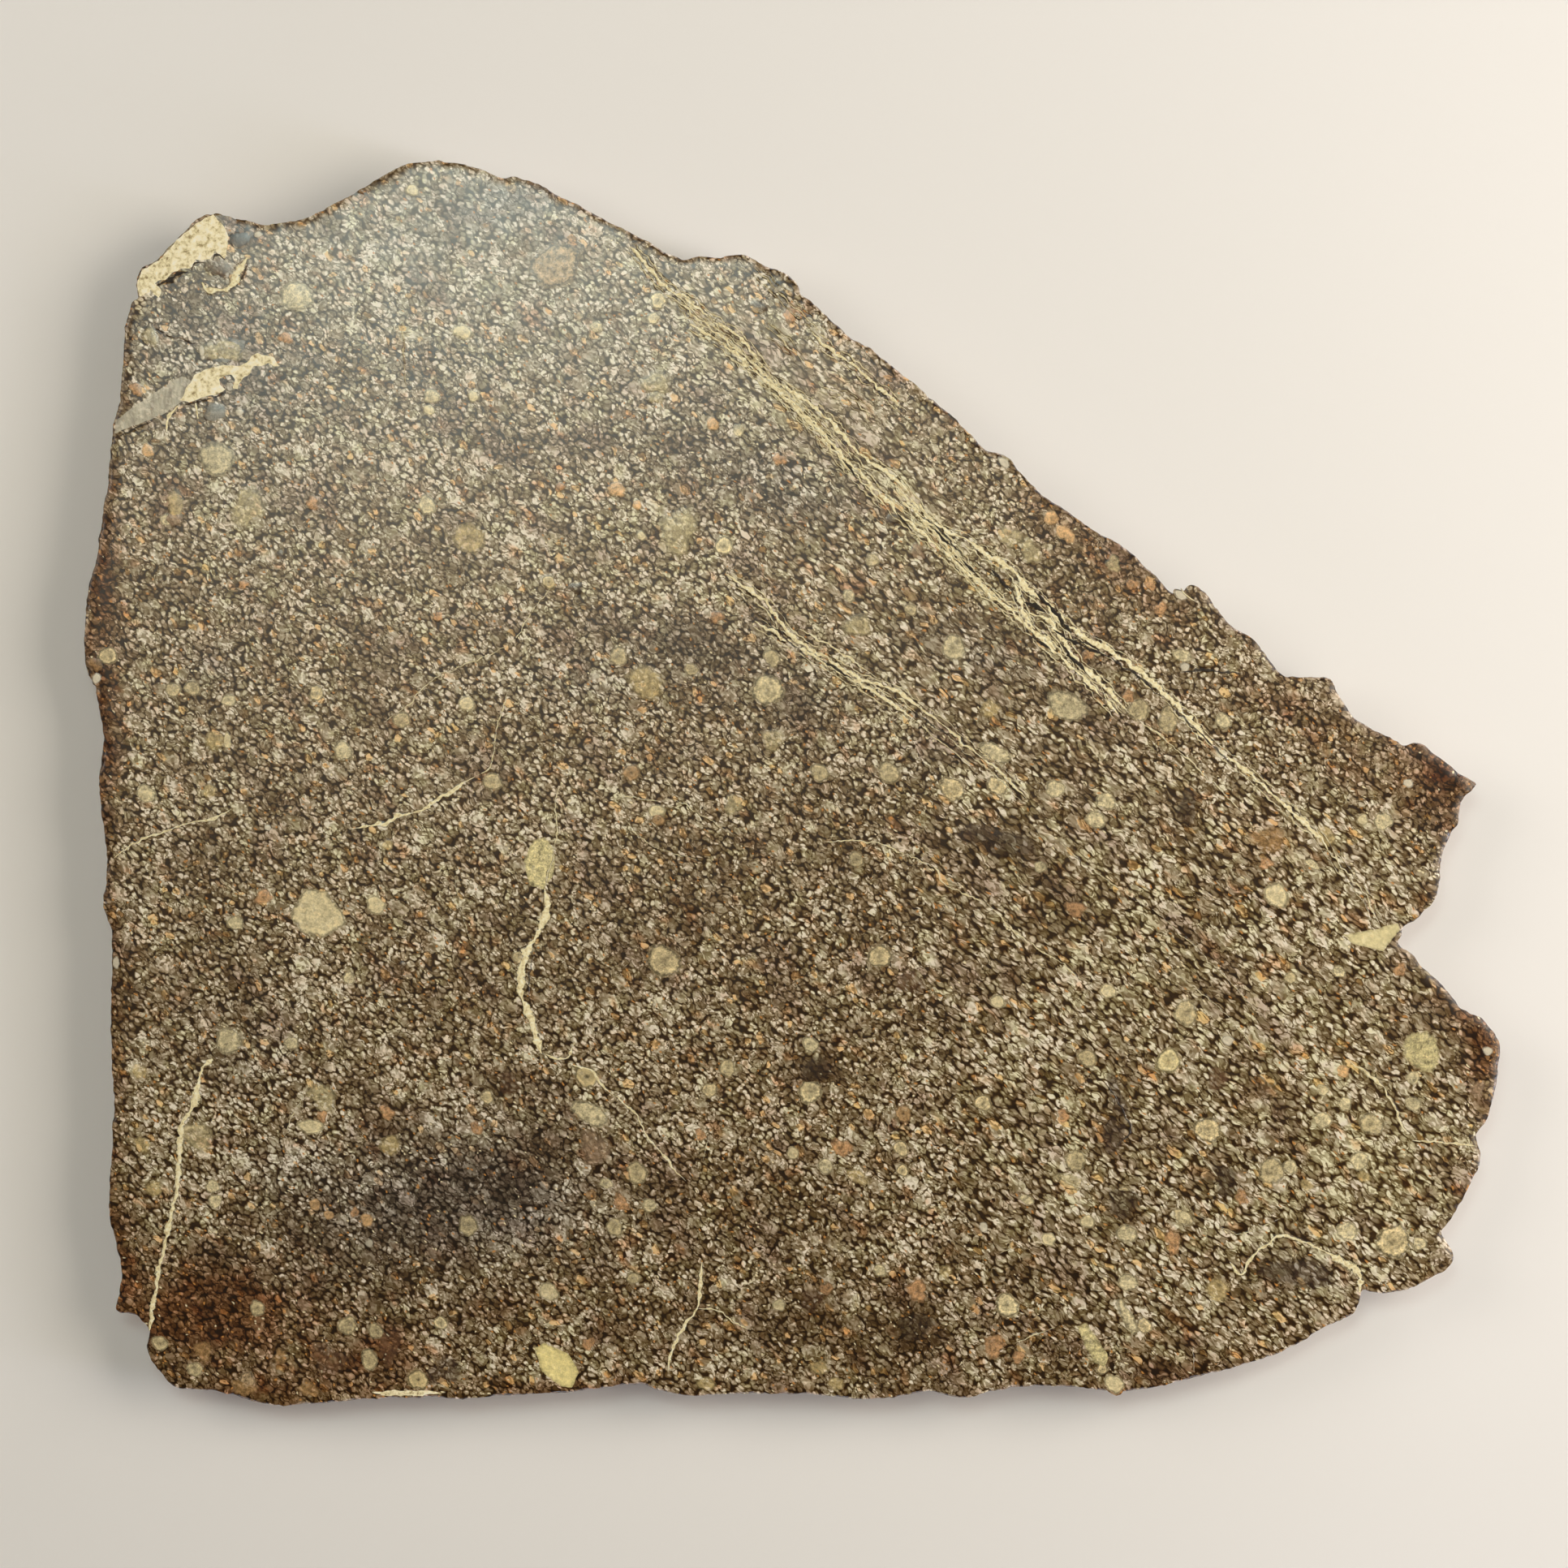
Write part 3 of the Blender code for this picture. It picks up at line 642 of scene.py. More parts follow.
# Where they lie: pixels across and down and the radius; or two radii and the turn, clockwise in degrees
BEADS = {
    "tan": [
        (852, 825, 9), (785, 1445, 14), (577, 1510, 13), (240, 1687, 10), (197, 1655, 10), (495, 887, 11),
        (607, 963, 12), (237, 848, 10), (213, 850, 10), (762, 809, 12), (951, 811, 11),
        (1440, 885, 12, 20, 20), (1403, 875, 14), (1095, 952, 14), (1690, 1385, 15), (1325, 1430, 14),
        (1567, 1443, 17), (317, 1612, 10), (428, 1633, 12), (757, 1512, 11), (780, 1575, 8),
        (1340, 1304, 12), (1461, 1248, 16), (455, 1675, 10, 14, 0), (463, 1640, 10), (896, 1316, 11),
        (1122, 751, 8), (1590, 1205, 8), (1075, 690, 9), (1458, 1500, 14, 9, 40), (1055, 1059, 10),
        (1010, 952, 12), (640, 1180, 9),
    ],
    "tan ring": [
        (133, 808, 12), (600, 1352, 9), (1211, 1359, 11), (390, 854, 10), (1173, 972, 16), (1084, 1178, 15),
        (818, 1184, 21), (1488, 1392, 17), (1717, 1530, 20, 22, 0), (1110, 1415, 10), (1112, 1442, 8),
        (874, 1343, 10), (1358, 1687, 7), (1410, 1633, 10), (1385, 1470, 9), (1229, 968, 13),
    ],
    "brown ring": [(684, 327, 31, 26, -10), (305, 1700, 10)],
    "pale": [
        (910, 530, 8), (532, 488, 10), (365, 365, 20), (205, 640, 8), (1175, 798, 16),
        (1315, 870, 25, 18, 20), (1225, 928, 20, 12, 20), (1350, 1010, 12), (1363, 987, 12),
        (1457, 808, 12, 8, 30), (1704, 1012, 12), (1617, 1065, 10, 5, 30), (1650, 1197, 8),
        (282, 863, 10, 7, 0), (180, 978, 12), (359, 1285, 9), (430, 1205, 8), (1388, 1520, 14, 10, 20),
        (1390, 1580, 12), (1741, 1328, 9), (1741, 1360, 10), (1630, 1343, 8), (1749, 1532, 9),
        (1590, 1438, 9), (1675, 1430, 12), (1017, 1437, 10), (747, 1458, 9, 6, 20), (800, 1485, 9),
        (1265, 1478, 9, 6, 20), (1084, 1565, 8), (1282, 1068, 8), (1300, 972, 12), (423, 925, 12),
        (526, 622, 12), (1507, 888, 10), (1657, 1360, 9), (1630, 1380, 11), (1660, 1517, 13),
        (1046, 734, 8), (999, 1287, 10), (262, 1462, 9), (265, 1480, 9), (267, 565, 22, 20, 0),
        (282, 1283, 17, 15, 0), (727, 1372, 27, 12, 25), (805, 392, 8), (290, 1137, 10), (735, 403, 8),
    ],
    "pale ring": [
        (811, 370, 11), (543, 1630, 9), (1241, 1608, 15), (892, 672, 12), (946, 850, 20), (998, 1345, 15),
    ],
    "cream": [
        (575, 867, 10), (463, 1115, 12), (676, 1592, 12), (1340, 1505, 9), (1292, 1527, 9), (529, 505, 7),
        (1573, 1103, 16), (1365, 1221, 10), (960, 1608, 8), (977, 1421, 8), (809, 999, 10, 8, 0),
        (583, 488, 7), (508, 234, 8), (1679, 1010, 7), (1373, 1705, 12), (383, 1388, 16, 9, 10),
        (1229, 1234, 9), (1460, 1498, 8, 5, 30), (570, 409, 14, 8, 10), (1352, 803, 6),
        (280, 913, 5, 10, 0), (790, 660, 6),
    ],
    "white": [
        (119, 836, 5, 7, 0), (143, 1186, 4, 8, 0), (1237, 570, 8, 5, 40), (1455, 733, 9, 5, 30),
        (1833, 1295, 6), (318, 289, 5, 4, 0), (249, 432, 4, 7, 0), (295, 508, 5), (410, 715, 4),
        (1460, 822, 6), (1513, 1282, 7), (455, 1532, 5), (1420, 1538, 5), (1735, 965, 6), (1212, 1512, 6),
        (330, 1020, 4),
    ],
    "yellow": [
        (265, 913, 13), (258, 975, 9), (481, 1411, 13), (190, 1465, 10), (172, 1320, 10), (477, 1041, 7),
        (1610, 1460, 8), (1680, 1450, 8), (1057, 1450, 16, 8, 20), (870, 1705, 12, 8, 0),
        (1010, 1685, 11, 9, 0), (1030, 1705, 10, 8, 0), (216, 622, 10, 18, 0), (175, 1410, 10),
        (1500, 1590, 15), (1633, 1030, 13), (1165, 1567, 8), (796, 841, 22), (1220, 873, 12),
    ],
    "gold": [
        (300, 1710, 14, 9, 0), (380, 1711, 12, 9, 0), (345, 1672, 9), (250, 1665, 12), (118, 818, 8),
        (1563, 1035, 18),
    ],
    "orange": [
        (352, 416, 8), (168, 479, 8), (385, 620, 8), (1395, 720, 7), (1418, 722, 6), (1430, 750, 8),
        (1342, 805, 8), (1390, 858, 8), (1560, 1064, 8), (1725, 1195, 8), (477, 1371, 9), (397, 1375, 7),
        (587, 1390, 8), (437, 1494, 6), (863, 1398, 7), (1037, 1414, 12), (1018, 1588, 8), (1225, 1658, 14),
        (1255, 1672, 8), (1130, 1590, 13), (725, 1656, 8), (1530, 1475, 9), (1445, 1530, 9, 14, 0),
        (1325, 1120, 11), (973, 388, 9), (690, 600, 6), (540, 760, 6), (300, 720, 6), (1310, 1375, 8),
        (883, 760, 8), (960, 566, 8), (325, 1105, 10), (765, 1482, 10),
    ],
    "bright orange": [
        (760, 603, 10), (785, 622, 6), (878, 522, 8), (182, 555, 8), (1295, 638, 9), (1310, 655, 9),
        (1318, 662, 7), (1655, 1320, 8), (388, 1484, 7), (452, 1503, 8), (405, 1497, 6),
    ],
    "orange ring": [(1113, 1372, 11), (778, 952, 11), (811, 1010, 8)],
    "olive": [
        (808, 472, 16), (808, 490, 9), (185, 415, 11), (305, 625, 20, 25, 0), (275, 432, 25, 14, 10),
        (1057, 771, 16), (1372, 695, 10), (1245, 662, 14), (1270, 680, 14), (952, 912, 11, 16, 0),
        (903, 992, 12), (243, 1400, 20, 18, 0), (397, 1352, 18), (1318, 1455, 16, 10, 20),
        (836, 655, 24, 26, 0),
    ],
    "green ring": [(1440, 1307, 16)],
    "pink": [(733, 1415, 20), (1130, 680, 9), (1820, 1342, 9), (214, 640, 9)],
    "hollow": [(723, 1327, 15), (515, 1700, 13), (676, 717, 9)],
    "rust": [
        (627, 1336, 14), (1122, 1211, 16), (480, 1660, 12, 22, 0), (405, 1675, 20), (270, 330, 14, 12, 0),
        (1000, 1602, 14), (1500, 1330, 14),
    ],
    "grey": [(265, 508, 13, 11, 0)],
    "slate": [(295, 295, 12, 9, 0)],
    "mottled": [(1752, 1295, 24)],
    "dark": [
        (1006, 1318, 17), (548, 1690, 22, 15, 0), (1507, 1454, 19), (1463, 996, 12, 20, 0),
        (1128, 1635, 19), (1229, 1037, 44, 18, 8), (1376, 1350, 9, 26, -20), (1372, 1400, 12, 22, 20),
        (1600, 1570, 40, 17, 10), (1165, 662, 6), (710, 725, 8), (496, 1190, 5), (1385, 1482, 22, 16, 0),
        (1100, 640, 8), (345, 685, 6), (935, 378, 9),
    ],
}

# A lens has 16 sides and two rows, at these shares of its radius. The foot of every lens and plate is sunk
# in the stone, and so, by a hair, is a lens's outer row and a thread's edge
LENS_SIDES = 16
INNER_ROW, OUTER_ROW = 0.7, 1.22
SUNK = 90e-6
EDGE_SUNK = 3e-6


def lenses(spots, kinds, uneven, seed):
    """Thin closed lenses in the face: a middle point, two rows round it and a point below. A row's radius is
    its share of the bead's own outline, a circle made uneven by random waves of 2, 3 and 5 to the turn."""
    draw = np.random.default_rng(seed)
    count = len(spots)
    across, down, wide, high, degrees = spots.T
    middle = on_face(np.stack([across, down], axis=1))
    angle = np.arange(LENS_SIDES) * 2 * np.pi / LENS_SIDES
    outline = np.ones((count, LENS_SIDES))
    for lobes, height in ((2, 0.07), (3, 0.06), (5, 0.04)):
        outline += height * uneven[:, None] * np.sin(lobes * angle + draw.uniform(0, 2 * np.pi, (count, 1)))
    x = outline * np.cos(angle) * wide[:, None]
    y = outline * np.sin(angle) * high[:, None]
    lean = -np.radians(degrees)[:, None]
    flat = np.stack([x * np.cos(lean) - y * np.sin(lean), x * np.sin(lean) + y * np.cos(lean)], axis=2)
    lift = (8 + 0.06 * np.arange(count)) * 1e-6
    shares = np.array([0.0, INNER_ROW, OUTER_ROW, 0.0])
    rise = np.stack([lift, lift, np.full(count, -EDGE_SUNK), np.full(count, -SUNK)], axis=1)
    rows = middle[:, None, None] + flat[:, None] * METRES_PER_PIXEL * shares[None, :, None, None]
    rise = np.broadcast_to(FACE_HEIGHT + rise[:, :, None, None], rows.shape[:3] + (1,))
    rows = np.concatenate([rows, rise], axis=3)
    points = np.concatenate([rows[:, 0, :1], rows[:, 1], rows[:, 2], rows[:, 3, :1]], axis=1)
    each = 2 * LENS_SIDES + 2
    first = (np.arange(count) * each)[:, None]
    side = np.arange(LENS_SIDES)
    after = (side + 1) % LENS_SIDES
    inner, outer = 1 + side, 1 + LENS_SIDES + side
    inner_after, outer_after = 1 + after, 1 + LENS_SIDES + after
    centre, foot = np.zeros_like(side), np.full_like(side, each - 1)
    fans = np.concatenate([
        np.stack([centre, inner, inner_after], axis=1), np.stack([foot, outer_after, outer], axis=1),
    ])
    quads = np.stack([inner, outer, outer_after, inner_after], axis=1)
    faces = [(first[:, :, None] + part[None]).reshape(-1, part.shape[1]) for part in (fans, quads)]
    depth = np.repeat([0.0, INNER_ROW, OUTER_ROW], [1, LENS_SIDES, LENS_SIDES + 1])
    return points.reshape(-1, 3), faces, np.tile(depth, count), np.repeat(kinds, each)


def ragged_ring(pixels, jag, seed, step=0.14 * MM):
    """A closed outline, straight from corner to corner in equal steps, anticlockwise. It is worn ragged by
    bending the plane it lies in with smooth random waves, which can't make it cross itself."""
    corners = on_face(pixels + pixels[:1])
    length = np.concatenate([[0], np.cumsum(np.linalg.norm(np.diff(corners, axis=0), axis=1))])
    stops = np.arange(round(length[-1] / step)) * length[-1] / round(length[-1] / step)
    ring = np.stack([np.interp(stops, length, corners[:, axis]) for axis in (0, 1)], axis=1)
    following = np.roll(ring, -1, axis=0)
    if (ring[:, 0] * following[:, 1] - ring[:, 1] * following[:, 0]).sum() < 0:
        ring = ring[::-1]
    flat = np.column_stack([ring, np.zeros(len(ring))])
    bend = [lumps(flat, 2.0 * MM, 0.45 * MM, seed + 50 * axis) for axis in (0, 1)]
    return ring + jag * np.stack(bend, axis=1)


def plate(pixels, jag, lift, relief, seed, grid=0.4 * MM):
    """A thin closed plate in the face with a ragged outline: its top fills the outline, stands a little
    proud and has lumps of the given relief, and a skirt closes it to a flat underside sunk in the stone.
    Depth goes from 0 well inside to 1 at the edge."""
    ring = ragged_ring(pixels, jag, seed)
    inner = grid_inside(ring, grid, 0.5 * grid, seed)
    flat = np.concatenate([ring, inner])
    depth = 1 - np.clip(rim_distance(flat, ring) / (4 * grid), 0, 1)
    depth[: len(ring)] = 1
    top = np.column_stack([flat, np.full(len(flat), FACE_HEIGHT + lift)])
    top[:, 2] += relief * (1 - depth) * (1 + lumps(top, 2.5 * MM, 0.5 * MM, seed))
    under = np.column_stack([flat, np.full(len(flat), FACE_HEIGHT - SUNK)])
    triangles = filled(ring, inner)
    side = np.arange(len(ring))
    after = np.roll(side, -1)
    skirt = np.stack([side, side + len(flat), after + len(flat), after], axis=1)
    faces = [triangles, triangles[:, ::-1] + len(flat), skirt]
    return np.concatenate([top, under]), faces, np.tile(depth, 2)


def joined(parts):
    """Several meshes' arrays as one: points, faces by count of corners, and each further array in turn."""
    start = np.cumsum([0] + [len(part[0]) for part in parts[:-1]])
    faces = [face + shift for part, shift in zip(parts, start) for face in part[1]]
    return [np.concatenate([part[0] for part in parts]), faces] + [
        np.concatenate([part[i] for part in parts]) for i in range(2, len(parts[0]))
    ]


# Broken pieces of other stone caught in this one, by their corners
CLASTS = [
    ("smooth", [(1655, 1152), (1680, 1148), (1700, 1144), (1722, 1136), (1725, 1146), (1716, 1158),
        (1704, 1172), (1688, 1168), (1668, 1164)]),
    ("rust", [(264, 265), (273, 265), (285, 268), (291, 272), (288, 281), (281, 281), (273, 273)]),
    ("grey", [(262, 432), (268, 421), (288, 417), (303, 420), (300, 432), (292, 440), (284, 446),
        (262, 446)]),
    ("cream", [(375, 1095), (402, 1097), (420, 1120), (428, 1137), (397, 1157), (370, 1148), (356, 1128)]),
    ("honey", [(658, 1660), (672, 1655), (700, 1668), (713, 1690), (705, 1710), (690, 1707), (668, 1692)]),
    ("yellow", [(562, 648), (580, 642), (598, 655), (600, 672), (585, 684), (565, 678), (556, 664)]),
    ("mottled", [(1326, 1634), (1338, 1630), (1352, 1648), (1366, 1672), (1362, 1684), (1350, 1680),
        (1336, 1656)]),
    ("pale", [(1372, 1602), (1382, 1600), (1396, 1620), (1404, 1640), (1396, 1646), (1384, 1630)]),
    ("mottled", [(655, 1036), (672, 1032), (684, 1048), (682, 1078), (670, 1096), (652, 1090),
        (645, 1062)]),
]

# A bead with one radius is squeezed a little and turned, like the stone's grain
GRAIN_SQUEEZE, GRAIN_TURN = 0.92, 38
kind_names = list(BEAD_KINDS)
spots, spot_kinds = [], []
for kind, places in BEADS.items():
    for spot in places:
        spots.append(spot if len(spot) == 5 else (*spot, spot[2] * GRAIN_SQUEEZE, GRAIN_TURN))
        spot_kinds.append(kind_names.index(kind))
uneven = np.where(np.isin(spot_kinds, [kind_names.index(kind) for kind in UNEVEN_KINDS]), 2.4, 1.0)
parts = [lenses(np.array(spots, float), np.array(spot_kinds), uneven, 11)]
for i, (kind, corners) in enumerate(CLASTS):
    points, faces, depth = plate(corners, 0.05 * MM, 12e-6, 0.0, 20 + i)
    parts.append((points, faces, depth, np.full(len(points), kind_names.index(kind))))
bead_points, bead_faces, bead_depth, bead_kinds = joined(parts)
beads = mesh_object("large_chondrules", bead_points, bead_faces)
give_stains_and_sheen(beads)
give(beads, "depth", bead_depth)
faint = np.isin(bead_kinds, [kind_names.index(kind) for kind in FAINT_KINDS])
tints = np.array([linear(BEAD_KINDS[kind][0]) for kind in kind_names])[bead_kinds]
tints[:, 3] = np.where(faint, 0.50, 0.85)
give(beads, "tint", tints)
give(beads, "look", np.array([BEAD_KINDS[kind][1:] for kind in kind_names])[bead_kinds])


def bead_stone():
    """Chondrules: olivine and pyroxene beads. A fine grainy filling, often a pale ring inside a dark
    outline, and at its edge the bead gives way raggedly to the stone round it."""
    material, tree, shader = new_material("chondrule_stone")
    around = put(tree, "Group", node_tree=pattern)
    depth = put(tree, "Attribute", attribute_name="depth").outputs["Fac"]
    tint = put(tree, "Attribute", attribute_name="tint")
    look = put(tree, "Attribute", attribute_name="look")
    look_parts = put(tree, "SeparateColor", (look.outputs["Color"],))
    outline, ring, grainy = look_parts.outputs
    place = millimetres(tree)

    # The filling: crystals in clusters of 0.6 mm and finer
    crystals = put(tree, "TexNoise", {"Vector": place, "Scale": 1 / 0.6, "Detail": 3.0, "Roughness": 0.9})
    fill = put(tree, "MapRange", (crystals, 0.36, 0.64, 0.28, 1.55))
    fill = put(tree, "Mix", {0: grainy, 2: 1.0, 3: fill})
    dark = put(tree, "Attribute", attribute_name="dark").outputs["Fac"]
    dark = put(tree, "Math", (dark, -0.45, 1.0), "MULTIPLY_ADD")
    fill = put(tree, "Math", (fill, dark), "MULTIPLY")

    # A ragged edge, a dark outline just inside it, a pale ring inside that and a dark core
    wavy = put(tree, "TexNoise", {"Vector": place, "Scale": 1 / 0.35, "Detail": 1.0})
    edge = put(tree, "Math", (wavy, 0.40, depth), "MULTIPLY_ADD")
    for centre, reach, share, factor in (
        (1.13, 0.13, outline, 0.25), (0.88, 0.16, ring, 1.35), (0.15, 0.38, look.outputs["Alpha"], 0.15),
    ):
        off = put(tree, "Math", (edge, centre), "SUBTRACT")
        off = put(tree, "Math", (off,), "ABSOLUTE")
        near = put(tree, "MapRange", (off, 0.0, reach, 1.0, 0.0), interpolation_type="SMOOTHSTEP")
        near = put(tree, "Math", (near, share), "MULTIPLY")
        change = put(tree, "Mix", {0: near, 2: 1.0, 3: factor})
        fill = put(tree, "Math", (fill, change), "MULTIPLY")
    filling = put(tree, "VectorMath", {0: tint.outputs["Color"], "Scale": fill}, "SCALE")
    body = put(tree, "MapRange", (edge, 1.12, 1.30, 1.0, 0.0))
    body = put(tree, "Math", (body, tint.outputs["Alpha"]), "MULTIPLY")
    colour = put(tree, "Mix", {0: body, 6: around.outputs["Colour"], 7: filling}, data_type="RGBA")
    feed(tree, shader, {"Base Color": colour.outputs[2], "Roughness": around.outputs["Roughness"]})
    shader.inputs["IOR"].default_value = 1.6
    return material


beads.data.materials.append(bead_stone())
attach(beads, "root")


# The veins: cracks that shock and frost opened in the stone and that desert water filled with lime. They
# are cream threads a tenth to half a millimetre wide, in bundles that run down to the right.
# Width in pixels, how strongly it shows, and the pixels it runs through
PALE_VEINS = [
    (3.8, 1.0, [(775, 305), (783, 310), (822, 355), (850, 370), (872, 390), (912, 417), (952, 466),
        (992, 493), (1028, 524), (1060, 560), (1102, 589), (1128, 620), (1150, 645), (1163, 663),
        (1184, 689), (1202, 714), (1222, 735), (1242, 747), (1263, 760), (1275, 775)]),
    (3.4, 1.0, [(850, 399), (890, 423), (930, 457), (966, 488), (1001, 519), (1037, 560), (1069, 592),
        (1110, 635), (1138, 658), (1179, 694), (1217, 727), (1242, 750), (1301, 804), (1340, 840),
        (1378, 880)]),
    (5.4, 1.0, [(1189, 663), (1217, 684), (1245, 700), (1263, 722), (1288, 742), (1306, 762), (1332, 783),
        (1357, 796), (1396, 821), (1430, 850), (1459, 879), (1496, 921)]),
    (3.6, 0.9, [(1496, 921), (1530, 945), (1555, 967), (1575, 985), (1600, 1008)]),
    (5.0, 0.9, [(1575, 985), (1600, 1008), (1622, 1027), (1636, 1046)]),
    (2.0, 0.6, [(1633, 1043), (1650, 1065), (1680, 1100), (1700, 1140)]),
    (5.0, 1.0, [(1250, 719), (1258, 745), (1263, 758), (1275, 780), (1290, 787), (1300, 800)]),
    (4.8, 1.0, [(1268, 755), (1293, 765), (1306, 783), (1329, 816), (1357, 842), (1388, 875)]),
    (4.5, 1.0, [(1110, 617), (1140, 640), (1168, 655), (1189, 663)]),
    (3.4, 0.9, [(1001, 408), (1005, 415), (1028, 434), (1048, 447), (1064, 461), (1095, 488), (1117, 506)]),
    (2.2, 0.6, [(939, 399), (966, 421), (990, 446)]), (2.2, 0.6, [(1010, 475), (1050, 493), (1077, 515)]),
    (3.0, 0.85, [(900, 432), (950, 475), (1000, 524), (1040, 570), (1090, 622)]),
    (2.8, 0.8, [(835, 372), (880, 408), (930, 450), (980, 500), (1025, 548)]),
    (3.0, 0.8, [(1105, 600), (1150, 655), (1195, 706), (1235, 742)]),
    (1.8, 0.6, [(800, 335), (850, 378), (900, 420), (945, 460)]),
    (2.0, 0.5, [(868, 392), (920, 440), (975, 500)]), (2.0, 0.5, [(930, 330), (975, 375), (1020, 415)]),
    (3.8, 0.95, [(894, 707), (943, 742), (975, 783), (1015, 809), (1060, 836), (1102, 850), (1133, 872)]),
    (3.0, 0.8, [(1133, 872), (1168, 898), (1193, 921), (1229, 948), (1265, 984)]),
    (4.2, 0.9, [(930, 765), (966, 787), (1020, 819), (1051, 837), (1084, 857), (1122, 883)]),
    (2.0, 0.5, [(1122, 883), (1160, 915), (1200, 945)]),
    (3.0, 0.75, [(985, 775), (1030, 800), (1080, 835)]),
    (1.8, 0.5, [(751, 975), (790, 985), (836, 988), (870, 1008), (903, 1028)]),
    (2.0, 0.65, [(1015, 1037), (1073, 1037), (1109, 1050), (1149, 1068), (1167, 1091), (1216, 1113)]),
    (2.0, 0.65, [(1216, 1113), (1256, 1153), (1305, 1185), (1332, 1207)]),
    (1.8, 0.45, [(1305, 1037), (1341, 1068), (1380, 1095)]),
    (1.8, 0.45, [(1346, 1070), (1380, 1096), (1417, 1120)]),
    (1.8, 0.45, [(1515, 1210), (1532, 1228), (1550, 1245)]),
    (1.8, 0.4, [(1420, 1120), (1470, 1165), (1515, 1210)]),
    (2.2, 0.6, [(692, 966), (683, 992), (687, 1019), (680, 1060), (671, 1095)]),
    (6.5, 1.0, [(671, 1095), (674, 1122), (665, 1144), (649, 1175), (641, 1207), (645, 1234), (656, 1260),
        (660, 1278), (667, 1298)]),
    (7.5, 1.0, [(655, 1160), (645, 1185), (641, 1207), (643, 1225)]),
    (3.0, 0.8, [(667, 1298), (674, 1300), (696, 1305), (709, 1283)]),
    (3.0, 0.9, [(700, 1310), (718, 1316), (733, 1322), (742, 1338), (750, 1345)]),
    (2.4, 0.75, [(750, 1345), (783, 1372), (796, 1399), (815, 1420), (830, 1440), (845, 1455)]),
    (1.8, 0.5, [(873, 1400), (870, 1415), (866, 1430)]),
    (2.0, 0.5, [(678, 725), (660, 747), (629, 792), (585, 814), (535, 836), (504, 867), (473, 890)]),
    (2.0, 0.45, [(348, 850), (328, 857), (310, 863)]),
    (2.4, 0.55, [(625, 854), (611, 903), (605, 943), (585, 957)]),
    (3.6, 0.95, [(585, 957), (549, 979), (522, 997), (500, 1003), (470, 1015), (433, 1021)]),
    (2.6, 0.75, [(285, 997), (263, 1009), (236, 1013), (205, 1024), (169, 1037), (138, 1059)]),
    (6.0, 0.95, [(262, 1305), (248, 1318), (243, 1345), (236, 1366), (224, 1388), (221, 1420), (220, 1445),
        (217, 1470)]),
    (4.6, 0.95, [(220, 1445), (217, 1470), (210, 1500), (204, 1530), (197, 1560), (190, 1600),
        (184, 1640)]),
    (1.8, 0.45, [(380, 1337), (365, 1365), (350, 1400)]),
    (3.6, 0.9, [(865, 1555), (863, 1575), (862, 1600), (855, 1618), (845, 1632), (835, 1647), (828, 1665),
        (823, 1690)]),
    (2.2, 0.7, [(858, 1612), (885, 1615), (905, 1630), (925, 1638)]),
    (1.8, 0.5, [(1250, 1655), (1275, 1645), (1300, 1635)]),
    (1.8, 0.45, [(1230, 1545), (1243, 1540), (1255, 1535)]),
    (1.8, 0.45, [(1470, 1660), (1470, 1675), (1471, 1690)]),
    (3.0, 0.75, [(1660, 1305), (1680, 1320), (1700, 1335), (1715, 1358), (1725, 1382), (1733, 1395)]),
    (2.8, 0.75, [(1740, 1405), (1780, 1408), (1820, 1412)]),
    (3.6, 0.8, [(1515, 1555), (1530, 1570), (1545, 1545), (1560, 1535), (1580, 1522), (1605, 1530),
        (1633, 1542)]),
    (8.0, 0.9, [(1633, 1542), (1645, 1550), (1665, 1560), (1676, 1575), (1675, 1592)]),
    (1.8, 0.4, [(1455, 1400), (1480, 1425), (1500, 1450)]),
    (6.5, 1.0, [(249, 348), (256, 357), (266, 358), (278, 358), (285, 352), (291, 341), (297, 329),
        (305, 317)]),
    (5.5, 1.0, [(219, 500), (210, 511), (206, 522), (205, 532)]),
    (4.0, 0.9, [(241, 494), (242, 506), (244, 516)]), (1.6, 0.45, [(495, 395), (498, 440), (500, 490)]),
    (2.4, 0.8, [(1455, 725), (1463, 735), (1475, 742)]),
    (1.8, 0.4, [(1420, 1180), (1500, 1240), (1560, 1310)]),
    (1.8, 0.4, [(760, 1000), (800, 1040), (860, 1060)]),
    (1.8, 0.35, [(560, 1080), (570, 1130), (590, 1180)]),
    (1.8, 0.4, [(1480, 1500), (1530, 1520), (1580, 1500)]),
    (2.0, 0.6, [(1400, 885), (1440, 915), (1490, 960), (1530, 1000)]),
]

# The first 21 run in bundles: they are more jagged, and each has finer threads on both sides of it.
# Each run's last number is how far its jags reach, in mm
BUNDLED = 21
vein_runs = [(*run, 0.06 if i < BUNDLED else 0.03) for i, run in enumerate(PALE_VEINS)]
for width, strength, pixels in PALE_VEINS[:BUNDLED]:
    for gap in (-7.0, 6.0):
        beside = [(x + 0.64 * gap, y - 0.77 * gap) for x, y in pixels]
        vein_runs.append((1.9, 0.6 * strength, beside, 0.06))
